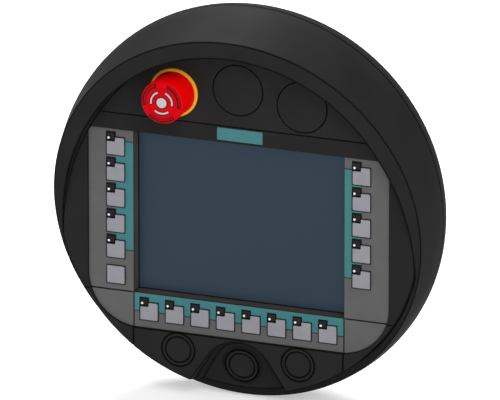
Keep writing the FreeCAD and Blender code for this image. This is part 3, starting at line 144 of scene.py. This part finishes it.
# Colours, linear
CHARCOAL = (0.0166, 0.0166, 0.0169)
PANEL_BLACK = (0.0178, 0.0178, 0.0181)
ENABLING_GREY = (0.045, 0.045, 0.047)
SEAL_BLACK = (0.012, 0.012, 0.012)
CONNECTOR_GREY = (0.05, 0.05, 0.052)
GLAND_BLACK = (0.022, 0.022, 0.023)
BEZEL_BROWN = (0.062, 0.054, 0.053)
TILE_BLACK = (0.018, 0.017, 0.019)
# Near black of the membrane print, also painted as shade on the key flanks
INK_AND_SHADE_BLACK = (0.012, 0.012, 0.012)
FILM_GREY = (0.088, 0.087, 0.087)
TEAL = (0.036, 0.156, 0.164)
KEY_GREY = (0.234, 0.231, 0.258)
LAMP_WHITE = (0.80, 0.80, 0.79)
LAMP_SHADE = (0.70, 0.70, 0.69)
LAMP_RIM = (0.1, 0.1, 0.1)
SCREEN_BLUE = (0.008, 0.0125, 0.0198)
SCREEN_GLOW = (0.0125, 0.0250, 0.0370)
NO_GLOW = (0.0, 0.0, 0.0)
STOP_RED = (0.97, 0.0, 0.001)
# Painted shade: the head's face is a darker copy of its red
STOP_RED_SHADED_FACE = (0.56, 0.0, 0.004)
# Painted shade in the grip recesses of the stop's face, darkest along their rims
RECESS_RIM_SHADE_RED = (0.10, 0.002, 0.004)
RECESS_SHADE_RED = (0.30, 0.008, 0.015)
MARK_RIM_RED = (0.06, 0.0, 0.001)
MARK_WHITE = (0.50, 0.45, 0.45)
STOP_YELLOW = (0.71, 0.335, 0.011)
STEEL_DARK = (0.42, 0.42, 0.43)
STEEL_PALE = (0.56, 0.56, 0.57)
BOARD_DARK = (0.012, 0.085, 0.035)
BOARD_PALE = (0.02, 0.13, 0.05)


# Shader helpers

class Shader:
    """A material with one Principled shader and short calls to add nodes to it."""

    def __init__(self, name):
        self.material = bpy.data.materials.new(name)
        self.material.use_nodes = True
        self.tree = self.material.node_tree
        self.surface = self.tree.nodes["Principled BSDF"]
        self.places = self.node("ShaderNodeTexCoord").outputs["Object"]

    def node(self, kind, **settings):
        made = self.tree.nodes.new(kind)
        for name, value in settings.items():
            setattr(made, name, value)
        return made

    def feed(self, socket, value):
        """Link a socket to another one, or set it to a constant."""
        if isinstance(value, bpy.types.NodeSocket):
            self.tree.links.new(value, socket)
        elif isinstance(value, tuple) and len(value) == 3 and socket.type == "RGBA":
            socket.default_value = (*value, 1)
        else:
            socket.default_value = value

    def set(self, **inputs):
        """Feed inputs of the Principled shader, named with _ for each space."""
        for name, value in inputs.items():
            self.feed(self.surface.inputs[name.replace("_", " ")], value)

    def math(self, operation, first, second=0.0, third=0.0):
        made = self.node("ShaderNodeMath", operation=operation)
        for socket, value in zip(made.inputs, (first, second, third)):
            self.feed(socket, value)
        return made.outputs[0]

    def noise(self, scale, detail, stretch=None):
        places = self.places
        if stretch is not None:
            mapping = self.node("ShaderNodeMapping")
            self.feed(mapping.inputs["Vector"], self.places)
            mapping.inputs["Scale"].default_value = stretch
            places = mapping.outputs[0]
        made = self.node("ShaderNodeTexNoise")
        self.feed(made.inputs["Vector"], places)
        made.inputs["Scale"].default_value = scale
        made.inputs["Detail"].default_value = detail
        return made.outputs["Fac"]

    def spread(self, factor, low, high, start=0.3, stop=0.7):
        """Map a value between start and stop, by default most of a noise, to one between low and high."""
        made = self.node("ShaderNodeMapRange")
        for socket, value in zip(made.inputs, (factor, start, stop, low, high)):
            self.feed(socket, value)
        return made.outputs[0]

    def around(self, value, noise, reach=0.05):
        """A value that a noise moves down and up by this reach."""
        return self.spread(noise, value - reach, value + reach)

    def mix(self, factor, first, second):
        made = self.node("ShaderNodeMix", data_type="RGBA")
        self.feed(made.inputs["Factor"], factor)
        colours = [socket for socket in made.inputs if socket.type == "RGBA"]
        self.feed(colours[0], first)
        self.feed(colours[1], second)
        return next(socket for socket in made.outputs if socket.type == "RGBA")

    def blend(self, noise, first, second):
        """Two colours, clouded into each other by a noise."""
        return self.mix(self.spread(noise, 0.0, 1.0), first, second)

    def clouded(self, colour, noise, share=0.05):
        """A colour that a noise makes darker and lighter by this share of it."""
        return self.blend(noise, shade(colour, 1 - share), shade(colour, 1 + share))

    def normal(self):
        return self.node("ShaderNodeNewGeometry").outputs["Normal"]

    def soft_edges(self, radius):
        """The normal with its edges rounded off, and a mask of a thin line along those edges."""
        rounded = self.node("ShaderNodeBevel", samples=EDGE_SAMPLES)
        self.feed(rounded.inputs["Radius"], radius)
        alike = self.node("ShaderNodeVectorMath", operation="DOT_PRODUCT")
        self.feed(alike.inputs[0], rounded.outputs[0])
        self.feed(alike.inputs[1], self.normal())
        return rounded.outputs[0], self.spread(alike.outputs["Value"], 1.0, 0.0, EDGE_FULL, EDGE_END)

    def bump(self, height, depth, strength, normal=None):
        made = self.node("ShaderNodeBump")
        self.feed(made.inputs["Height"], height)
        if normal is not None:
            self.feed(made.inputs["Normal"], normal)
        made.inputs["Distance"].default_value = depth
        made.inputs["Strength"].default_value = strength
        self.feed(self.surface.inputs["Normal"], made.outputs[0])

    def axes(self, vector=None):
        """The three parts of a vector, or of the place on the piece."""
        made = self.node("ShaderNodeSeparateXYZ")
        self.feed(made.inputs[0], self.places if vector is None else vector)
        return made.outputs

    def distance(self, across, up):
        """The length of a vector with these two parts."""
        squares = self.math("ADD", self.math("MULTIPLY", across, across), self.math("MULTIPLY", up, up))
        return self.math("SQRT", squares)

    def within(self, value, low, high):
        return self.both(self.math("GREATER_THAN", value, low), self.math("LESS_THAN", value, high))

    def both(self, first, second):
        return self.math("MULTIPLY", first, second)

    def any_of(self, masks):
        total = masks[0]
        for mask in masks[1:]:
            total = self.math("MAXIMUM", total, mask)
        return total


def shade(colour, factor):
    return tuple(part * factor for part in colour)


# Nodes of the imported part

def nodes_named(*starts):
    """The names of the nodes that start with one of these words."""
    return [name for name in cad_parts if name.startswith(starts)]


def middle(name):
    """The centre of a node's box."""
    low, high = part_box(name)
    return (low + high) / 2


# Moulded plastics and rubbers

def moulded(name, colour, roughness, grain_depth=0.02 * MM, grain_scale=2600, edge_width=EDGE_WIDTH):
    """Injection-moulded plastic: a fine spark-eroded grain, faint cloudy tone and dark edges.

    The edge width is a length, or a function that draws one from the place.
    """
    shader = Shader(name)
    if callable(edge_width):
        edge_width = edge_width(shader)
    cloud = shader.noise(scale=35, detail=4)
    rounded, edge = shader.soft_edges(edge_width)
    tone = shader.clouded(colour, cloud, share=0.1)
    shader.set(Base_Color=shader.mix(edge, tone, shade(colour, EDGE_SHADE)),
               Roughness=shader.around(roughness, cloud), Specular_IOR_Level=0.1, IOR=1.2)
    shader.bump(shader.noise(grain_scale, detail=2), grain_depth, strength=0.6, normal=rounded)
    return shader.material


def collar_edges(shader):
    """A wider line along the inner edge of the collar."""
    x, _, z = shader.axes()
    radius = shader.distance(x, shader.math("SUBTRACT", z, COLLAR_CENTRE))
    return shader.spread(radius, COLLAR_EDGE, HOUSING_EDGE, COLLAR_REACH - MM, COLLAR_REACH)


def frame_edges(shader):
    """Thin lines beside the films, and wide ones in the niche."""
    return shader.spread(shader.axes()["Z"], NICHE_EDGE, FRAME_EDGE, NICHE_TOP - MM, NICHE_TOP)


def cap_edges(shader):
    """Lines along the rims of the round buttons, and none in the middle of their faces."""
    x, _, z = shader.axes()
    middles = []
    for name in BUTTON_CAPS:
        centre = middle(name)
        radius = shader.distance(shader.math("SUBTRACT", x, centre.x), shader.math("SUBTRACT", z, centre.z))
        middles.append(shader.math("LESS_THAN", radius, CAP_MIDDLE))
    return shader.spread(shader.any_of(middles), EDGE_WIDTH, 0.0, start=0.0, stop=1.0)


def collar_plastic():
    return moulded("collar_plastic", CHARCOAL, roughness=0.62, edge_width=collar_edges)


def housing_plastic():
    return moulded("housing_plastic", CHARCOAL, roughness=0.62, edge_width=HOUSING_EDGE)


def frame_plastic():
    return moulded("frame_plastic", CHARCOAL, roughness=0.62, edge_width=frame_edges)


def panel_moulding(name, edge_width):
    return moulded(name, PANEL_BLACK, roughness=0.5, grain_depth=0.012 * MM, grain_scale=3200,
                   edge_width=edge_width)


def panel_plastic():
    return panel_moulding("panel_plastic", PANEL_EDGE)


def lower_panel_plastic():
    return panel_moulding("lower_panel_plastic", LOWER_PANEL_EDGE)


def button_plastic():
    return moulded("button_plastic", PANEL_BLACK, roughness=0.42, grain_depth=0.006 * MM, grain_scale=4000,
                   edge_width=cap_edges)


def enabling_rubber():
    return moulded("enabling_rubber", ENABLING_GREY, roughness=0.75, grain_depth=0.03 * MM, grain_scale=1800)


def seal_rubber():
    return moulded("seal_rubber", SEAL_BLACK, roughness=0.8)


def connector_plastic():
    return moulded("connector_plastic", CONNECTOR_GREY, roughness=0.5)


def gland_plastic():
    return moulded("gland_plastic", GLAND_BLACK, roughness=0.45)


def bezel_plastic():
    return moulded("bezel_plastic", BEZEL_BROWN, roughness=0.6)


def tile_plastic():
    return moulded("tile_plastic", TILE_BLACK, roughness=0.3, grain_depth=0.004 * MM, grain_scale=4000)


# Faces of keys and lamp tiles on the membranes

Face = namedtuple("Face", "left right foot top")


def key_faces(side):
    """The visible caps of the keys on one side, by number."""
    faces = []
    for name in sorted(nodes_named(f"{side}_key_")):
        low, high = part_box(name)
        faces.append(Face(low.x + KEY_FLANGE, high.x - KEY_FLANGE, low.z + KEY_FLANGE, high.z - KEY_FLANGE))
    return faces


def tile_face(key):
    """The lamp tile at the top left of a key."""
    left = key.left - TILE_SIDE
    foot = key.top - TILE_OVERLAP
    return Face(left, left + TILE_WIDTH, foot, foot + TILE_HEIGHT)


def grown(face, low, high):
    """A face grown to the left and down by low, and to the right and up by high."""
    return Face(face.left - low, face.right + high, face.foot - low, face.top + high)


def framed(keys, tiles, tile_reach):
    """The faces of the dark frames, first those round the keys and then those round the tiles."""
    # Key frames reach further left and down than up and right: a painted drop shadow
    key_frames = [grown(key, KEY_SHADOW_REACH, KEY_REACH_HIGH) for key in keys]
    tile_frames = [grown(tile, TILE_REACH, tile_reach) for tile in tiles]
    return key_frames, tile_frames


# Print on the membranes, as masks of its dark lines and teal fields

def dark_row(shader, along, across, spans, sides):
    """Dark boxes in an even row; spans are their ends along the row and sides those across it."""
    first_low, first_high = spans[0]
    last_low, last_high = spans[-1]
    half = (first_high - first_low) / 2
    pitch = abs(last_low - first_low) / (len(spans) - 1)
    row = shader.within(along, min(first_low, last_low), max(first_high, last_high))
    step = shader.math("SUBTRACT", along, (first_low + first_high) / 2)
    step = shader.math("WRAP", step, pitch / 2, -pitch / 2)
    inside = shader.both(shader.within(step, -half, half), row)
    return shader.both(inside, shader.within(across, *sides))


def column_frames(shader, x, z, keys, tiles):
    """The frames round the keys and the lamp tiles of a column."""
    masks = []
    for faces in framed(keys, tiles, COLUMN_TILE_REACH):
        heights = [(face.foot, face.top) for face in faces]
        masks.append(dark_row(shader, z, x, heights, (faces[0].left, faces[0].right)))
    return masks


def row_frames(shader, x, z, keys, tiles):
    """The frames round the keys and the lamp tiles of the bottom row."""
    masks = []
    for faces in framed(keys, tiles, TILE_REACH):
        widths = [(face.left, face.right) for face in faces]
        masks.append(dark_row(shader, x, z, widths, (faces[0].foot, faces[0].top)))
    return masks


def joint_lines(shader, x, z, name, at_left=JOINT_WIDTH, at_right=JOINT_WIDTH):
    """The dark lines along the straight edges of a film; a width of 0 leaves a side without one."""
    low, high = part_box(name)
    clear_x = shader.within(x, low.x + at_left, high.x - at_right)
    clear_z = shader.within(z, low.z + JOINT_WIDTH, high.z - JOINT_WIDTH)
    return shader.math("SUBTRACT", 1.0, shader.both(clear_x, clear_z))


def strip_ends(shader, z, strip):
    """The thin dark lines at the two ends of a side strip."""
    top = shader.within(z, STRIP_TOP, STRIP_TOP + LINE_WIDTH)
    foot = shader.within(z, STRIP_FOOT - LINE_WIDTH, STRIP_FOOT)
    return shader.both(strip, shader.any_of([top, foot]))


def column_print(shader, z, keys, strip, tab):
    """The teal field beside a column: its strip, with a tab in each gap between these keys."""
    fields = [shader.both(strip, shader.within(z, STRIP_FOOT, STRIP_TOP))]
    for upper, lower in zip(keys, keys[1:]):
        fields.append(shader.both(tab, shader.within(z, lower.top, upper.foot)))
    return shader.any_of(fields)


def left_print(shader, x, z):
    """The strip beside the left keys, with tabs between those that have a lamp, and the lines."""
    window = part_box("left_membrane")[1].x
    keys = key_faces("left")
    # The lowest left key has no lamp
    lamp_keys = keys[:-1]
    tiles = [tile_face(key) for key in lamp_keys]
    strip = shader.within(x, keys[0].right, window)
    tab = shader.within(x, tiles[0].right, window)
    lines = [strip_ends(shader, z, strip), joint_lines(shader, x, z, "left_membrane", at_left=0)]
    lines += column_frames(shader, x, z, keys, tiles)
    return column_print(shader, z, lamp_keys, strip, tab), shader.any_of(lines)


def right_print(shader, x, z):
    """The strip beside the right keys, with a small tab above each tile but the first, and the lines."""
    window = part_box("right_membrane")[0].x
    keys = key_faces("right")
    tiles = [tile_face(key) for key in keys]
    strip = shader.within(x, window, keys[0].left)
    tab = shader.within(x, window, tiles[0].right)
    lines = [strip_ends(shader, z, strip), joint_lines(shader, x, z, "right_membrane", at_right=0)]
    lines += column_frames(shader, x, z, keys, tiles)
    return column_print(shader, z, keys, strip, tab), shader.any_of(lines)


def bottom_print(shader, x, z):
    """The band above the bottom keys, down to their middle, and the lines."""
    keys = key_faces("bottom")
    tiles = [tile_face(key) for key in keys]
    lines = [shader.within(z, BAND_FOOT - LINE_WIDTH, BAND_FOOT),
             joint_lines(shader, x, z, "bottom_membrane")]
    lines += row_frames(shader, x, z, keys, tiles)
    return shader.math("GREATER_THAN", z, BAND_FOOT), shader.any_of(lines)


def corner_print(shader, x, z):
    """Bare film with the lines of its two straight joints."""
    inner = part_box("right_corner_cover")[0].x + JOINT_WIDTH
    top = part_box("corner_membranes")[1].z - JOINT_WIDTH
    beside = shader.math("LESS_THAN", shader.math("ABSOLUTE", x), inner)
    return None, shader.any_of([beside, shader.math("GREATER_THAN", z, top)])


# Membranes, keys, lamps and screen

def membrane_film(name, draw_print):
    """Grey embossed film with the teal fields and dark lines of its print; the frames round the keys also
    carry a painted drop shadow.
    """
    shader = Shader(name)
    cloud = shader.noise(scale=60, detail=3)
    colour = shader.clouded(FILM_GREY, cloud, share=0.06)
    x, _, z = shader.axes()
    field, line = draw_print(shader, x, z)
    if field is not None:
        colour = shader.mix(field, colour, shader.clouded(TEAL, cloud))
    shader.set(Base_Color=shader.mix(line, colour, INK_AND_SHADE_BLACK), Roughness=shader.around(0.53, cloud),
               Specular_IOR_Level=0.2)
    shader.bump(shader.noise(scale=5200, detail=1), depth=0.006 * MM, strength=0.5)
    return shader.material


def key_plastic():
    """Satin key caps whose flanks, the faces that don't look forward, are painted near black as shade."""
    shader = Shader("key_plastic")
    cloud = shader.noise(scale=110, detail=3)
    forward = -0.4
    # Painted shade: faces that turn away from the front take the dark ink colour
    shaded_flank = shader.math("GREATER_THAN", shader.axes(shader.normal())["Y"], forward)
    shader.set(Base_Color=shader.mix(shaded_flank, shader.clouded(KEY_GREY, cloud), INK_AND_SHADE_BLACK),
               Roughness=shader.around(0.47, cloud), Specular_IOR_Level=0.2)
    shader.bump(shader.noise(scale=4500, detail=2), depth=0.006 * MM, strength=0.5)
    return shader.material


def lamp_plastic():
    """Milky lamp windows with a dark rim."""
    shader = Shader("lamp_plastic")
    colour = shader.blend(shader.noise(scale=300, detail=2), LAMP_SHADE, LAMP_WHITE)
    rim = shader.soft_edges(SMALL_EDGE)[1]
    shader.set(Base_Color=shader.mix(rim, colour, LAMP_RIM), Roughness=0.25, Subsurface_Weight=0.15,
               Subsurface_Radius=(MM, MM, MM))
    return shader.material


def screen_film():
    """Lit touch screen: an even dark blue behind anti-glare film, with a dark line round it."""
    shader = Shader("screen_film")
    cloud = shader.noise(scale=9, detail=2)
    x, _, z = shader.axes()
    across = shader.within(x, SCREEN_LINE - WINDOW_SIDE, WINDOW_SIDE - SCREEN_LINE)
    upright = shader.within(z, WINDOW_FOOT + SCREEN_LINE, WINDOW_TOP - SCREEN_LINE)
    lit = shader.both(across, upright)
    line = shade(SCREEN_BLUE, SCREEN_LINE_SHADE)
    shader.set(Base_Color=shader.mix(lit, line, shader.clouded(SCREEN_BLUE, cloud, share=0.03)),
               Emission_Color=shader.mix(lit, NO_GLOW, SCREEN_GLOW), Emission_Strength=1.0,
               Roughness=shader.around(0.39, cloud, reach=0.03), Specular_IOR_Level=0.15)
    shader.bump(shader.noise(scale=7000, detail=1), depth=0.002 * MM, strength=0.4)
    return shader.material


# Emergency stop and plate

def stop_front(shader, across, up):
    """The colour of the red head's face: white marks with dark rims, and painted shade in the grip recesses,
    darkest along their rims.
    """
    radius = shader.distance(across, up)
    half_pitch = math.pi / ARC_COUNT
    turn = shader.math("ADD", shader.math("ARCTAN2", up, across), math.pi / 2)
    turn = shader.math("ABSOLUTE", shader.math("WRAP", turn, half_pitch, -half_pitch))

    def ring(arcs):
        near = shader.math("LESS_THAN", turn, math.radians(arcs.half_angle))
        return shader.both(shader.within(radius, arcs.inner, arcs.outer), near)

    dot = shader.math("LESS_THAN", radius, DOT_RADIUS)
    dot_rim = shader.math("LESS_THAN", radius, DOT_RIM_RADIUS)
    # Painted shade in the grip recesses
    front = shader.mix(ring(RECESS_RIMS), STOP_RED_SHADED_FACE, RECESS_RIM_SHADE_RED)
    front = shader.mix(ring(RECESS_ARCS), front, RECESS_SHADE_RED)
    front = shader.mix(shader.any_of([dot_rim, ring(MARK_RIMS)]), front, MARK_RIM_RED)
    return shader.mix(shader.any_of([dot, ring(MARK_ARCS)]), front, MARK_WHITE)


def stop_plastic():
    """Red moulded head whose face, which carries the marks, is painted a deeper red as shade."""
    shader = Shader("stop_plastic")
    centre = middle("estop_head")
    front_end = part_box("estop_head")[0].y
    x, y, z = shader.axes()
    front = stop_front(shader, shader.math("SUBTRACT", x, centre.x), shader.math("SUBTRACT", z, centre.z))
    # The front face of the head takes the painted shade colour
    face = shader.math("LESS_THAN", shader.math("SUBTRACT", y, front_end), STOP_FACE_DEPTH)
    cloud = shader.noise(scale=70, detail=3)
    side = shader.blend(cloud, shade(STOP_RED, 0.95), shade(STOP_RED, 1.02))
    shader.set(Base_Color=shader.mix(face, side, front), Roughness=shader.around(0.5, cloud),
               Specular_IOR_Level=0.04, Subsurface_Weight=0.3, Subsurface_Radius=(1.0, 0.1, 0.1),
               Subsurface_Scale=4 * MM)
    shader.bump(shader.noise(scale=2500, detail=2), depth=0.004 * MM, strength=0.5)
    return shader.material


def glossy_plastic(name, colour, roughness):
    shader = Shader(name)
    cloud = shader.noise(scale=90, detail=3)
    shader.set(Base_Color=shader.clouded(colour, cloud), Roughness=shader.around(roughness, cloud),
               Specular_IOR_Level=0.25)
    grain = shader.noise(scale=2600, detail=2)
    shader.bump(grain, depth=0.004 * MM, strength=0.5, normal=shader.soft_edges(SMALL_EDGE)[0])
    return shader.material


def yellow_plastic():
    return glossy_plastic("stop_yellow", STOP_YELLOW, roughness=0.35)


def plate_plastic():
    return glossy_plastic("plate_teal", TEAL, roughness=0.4)


# Metal and boards

def plated_steel():
    shader = Shader("plated_steel")
    streak = shader.noise(scale=400, detail=3, stretch=(1, 1, 6))
    shader.set(Base_Color=shader.blend(streak, STEEL_DARK, STEEL_PALE), Metallic=1.0,
               Roughness=shader.spread(streak, 0.3, 0.45))
    shader.bump(streak, depth=0.004 * MM, strength=0.4)
    return shader.material


def circuit_board():
    shader = Shader("circuit_board")
    patch = shader.noise(scale=160, detail=2)
    tracks = shader.spread(patch, 0.0, 1.0, start=0.45, stop=0.55)
    shader.set(Base_Color=shader.mix(tracks, BOARD_DARK, BOARD_PALE),
               Roughness=shader.spread(patch, 0.3, 0.42))
    shader.bump(patch, depth=0.03 * MM, strength=0.5)
    return shader.material


# Which nodes take which material

def finish_nodes():
    finishes = [
        (collar_plastic(), ["front_housing"]),
        (housing_plastic(), ["rear_housing"]),
        (frame_plastic(), ["front_frame"]),
        (panel_plastic(), ["upper_panel", "left_corner_cover", "right_corner_cover", "blanking_plugs",
                           "terminal_cover"]),
        (lower_panel_plastic(), ["lower_center_panel"]),
        (button_plastic(), ["button_bezels"] + BUTTON_CAPS),
        (enabling_rubber(), ["left_enabling_button", "right_enabling_button"]),
        (seal_rubber(), ["housing_seal"]),
        (connector_plastic(), ["display_module", "terminal_block", "estop_nut", "estop_contact_block",
                               "button_contact_blocks", "estop_stem"]),
        (gland_plastic(), ["cable_gland", "gland_locknut"]),
        (bezel_plastic(), ["screen_bezel"]),
        (tile_plastic(), ["key_lamp_tiles"]),
        (lamp_plastic(), ["key_lamps"]),
        (membrane_film("left_film", left_print), ["left_membrane"]),
        (membrane_film("right_film", right_print), ["right_membrane"]),
        (membrane_film("bottom_film", bottom_print), ["bottom_membrane"]),
        (membrane_film("corner_film", corner_print), ["corner_membranes"]),
        (key_plastic(), nodes_named("left_key", "right_key", "bottom_key")),
        (screen_film(), ["touch_screen"]),
        (stop_plastic(), ["estop_head", "estop_marks"]),
        (yellow_plastic(), ["estop_collar"]),
        (plated_steel(), ["carrier_plate", "carrier_screws", "cover_screws", "housing_screws"]),
        (circuit_board(), ["main_board", "key_boards"]),
    ]
    for material, names in finishes:
        for name in names:
            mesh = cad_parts[name].data
            mesh.materials.clear()
            mesh.materials.append(material)


# Header plate

def make_header_plate():
    """A bare plate with rounded corners and a soft front edge, half sunk in the strip."""
    form = bmesh.new()
    bmesh.ops.create_cube(form, size=1)
    bmesh.ops.scale(form, vec=(PLATE_WIDTH, 2 * PLATE_PROUD, PLATE_HEIGHT), verts=form.verts)
    corners = [edge for edge in form.edges if abs(edge.verts[0].co.y - edge.verts[1].co.y) > PLATE_PROUD]
    bmesh.ops.bevel(form, geom=corners, offset=PLATE_CORNER, segments=5, affect="EDGES", profile=0.5)
    front = [edge for edge in form.edges if all(vert.co.y < 0 for vert in edge.verts)]
    bmesh.ops.bevel(form, geom=front, offset=PLATE_EDGE, segments=2, affect="EDGES", profile=0.5)
    bmesh.ops.translate(form, vec=PLATE_CENTRE, verts=form.verts)
    mesh = bpy.data.meshes.new("header_plate")
    form.to_mesh(mesh)
    form.free()
    mesh.materials.append(plate_plastic())
    plate = bpy.data.objects.new("header_plate", mesh)
    bpy.context.scene.collection.objects.link(plate)
    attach(plate, HOUSING)


# Floor, light and camera

def floor_pale():
    """Matt floor that is lifted where it is seen, directly, mirrored or through another piece."""
    material = bpy.data.materials.new("floor_pale")
    material.use_nodes = True
    tree = material.node_tree
    tree.nodes.clear()
    matt = tree.nodes.new("ShaderNodeBsdfDiffuse")
    matt.inputs["Color"].default_value = (FLOOR_TONE, FLOOR_TONE, FLOOR_TONE, 1)
    path = tree.nodes.new("ShaderNodeLightPath")
    seen = path.outputs["Is Camera Ray"]
    for name in ("Is Glossy Ray", "Is Transmission Ray"):
        either = tree.nodes.new("ShaderNodeMath")
        either.operation = "MAXIMUM"
        tree.links.new(seen, either.inputs[0])
        tree.links.new(path.outputs[name], either.inputs[1])
        seen = either.outputs[0]
    share = tree.nodes.new("ShaderNodeMath")
    share.operation = "MULTIPLY"
    share.inputs[1].default_value = FLOOR_LIFT
    tree.links.new(seen, share.inputs[0])
    lift = tree.nodes.new("ShaderNodeEmission")
    lift.inputs["Color"].default_value = (1, 1, 1, 1)
    tree.links.new(share.outputs[0], lift.inputs["Strength"])
    both = tree.nodes.new("ShaderNodeAddShader")
    tree.links.new(matt.outputs[0], both.inputs[0])
    tree.links.new(lift.outputs[0], both.inputs[1])
    output = tree.nodes.new("ShaderNodeOutputMaterial")
    tree.links.new(both.outputs[0], output.inputs["Surface"])
    return material


def make_floor():
    mesh = bpy.data.meshes.new("floor")
    corners = [(-FLOOR_REACH, -FLOOR_REACH, FLOOR_HEIGHT), (FLOOR_REACH, -FLOOR_REACH, FLOOR_HEIGHT),
               (FLOOR_REACH, FLOOR_REACH, FLOOR_HEIGHT), (-FLOOR_REACH, FLOOR_REACH, FLOOR_HEIGHT)]
    mesh.from_pydata(corners, [], [(0, 1, 2, 3)])
    mesh.materials.append(floor_pale())
    floor = bpy.data.objects.new("floor", mesh)
    bpy.context.scene.collection.objects.link(floor)


def direction(azimuth, elevation):
    """The direction from the panel towards a lamp or viewer at these angles, in degrees."""
    turn = math.radians(azimuth)
    rise = math.radians(elevation)
    return Vector((math.sin(turn) * math.cos(rise), -math.cos(turn) * math.cos(rise), math.sin(rise)))


def make_lamp(name, azimuth, elevation, distance, size, power):
    """A square soft lamp that looks at the panel from this direction."""
    light = bpy.data.lights.new(name, "AREA")
    light.size = size
    light.energy = power
    lamp = bpy.data.objects.new(name, light)
    back = direction(azimuth, elevation)
    lamp.location = AIM + back * distance
    lamp.rotation_mode = "QUATERNION"
    lamp.rotation_quaternion = back.to_track_quat("Z", "Y")
    bpy.context.scene.collection.objects.link(lamp)


def make_light():
    world = bpy.data.worlds.new("studio")
    world.use_nodes = True
    background = world.node_tree.nodes["Background"]
    background.inputs["Color"].default_value = (1, 1, 1, 1)
    background.inputs["Strength"].default_value = WORLD_STRENGTH
    bpy.context.scene.world = world
    make_lamp("key_light", azimuth=34, elevation=42, distance=1.6, size=1.0, power=11)
    make_lamp("fill_light", azimuth=35, elevation=4, distance=1.8, size=0.45, power=8.5)
    make_lamp("top_light", azimuth=-152, elevation=46, distance=1.6, size=0.5, power=28)


def make_camera():
    back = direction(AZIMUTH, ELEVATION)
    turn = math.radians(AZIMUTH)
    right = Vector((math.cos(turn), math.sin(turn), 0))
    up = back.cross(right)
    distance = FRAME_WIDTH * LENS / SENSOR
    data = bpy.data.cameras.new("camera")
    data.lens = LENS
    data.sensor_width = SENSOR
    data.clip_start = CLIP_START
    data.clip_end = CLIP_DISTANCES * distance
    camera = bpy.data.objects.new("camera", data)
    camera.location = AIM + right * AIM_RIGHT + up * AIM_UP + back * distance
    camera.rotation_mode = "QUATERNION"
    camera.rotation_quaternion = (-back).to_track_quat("-Z", "Y")
    bpy.context.scene.collection.objects.link(camera)
    bpy.context.scene.camera = camera


bpy.context.scene.view_settings.view_transform = "Standard"
finish_nodes()
make_header_plate()
make_floor()
make_light()
make_camera()
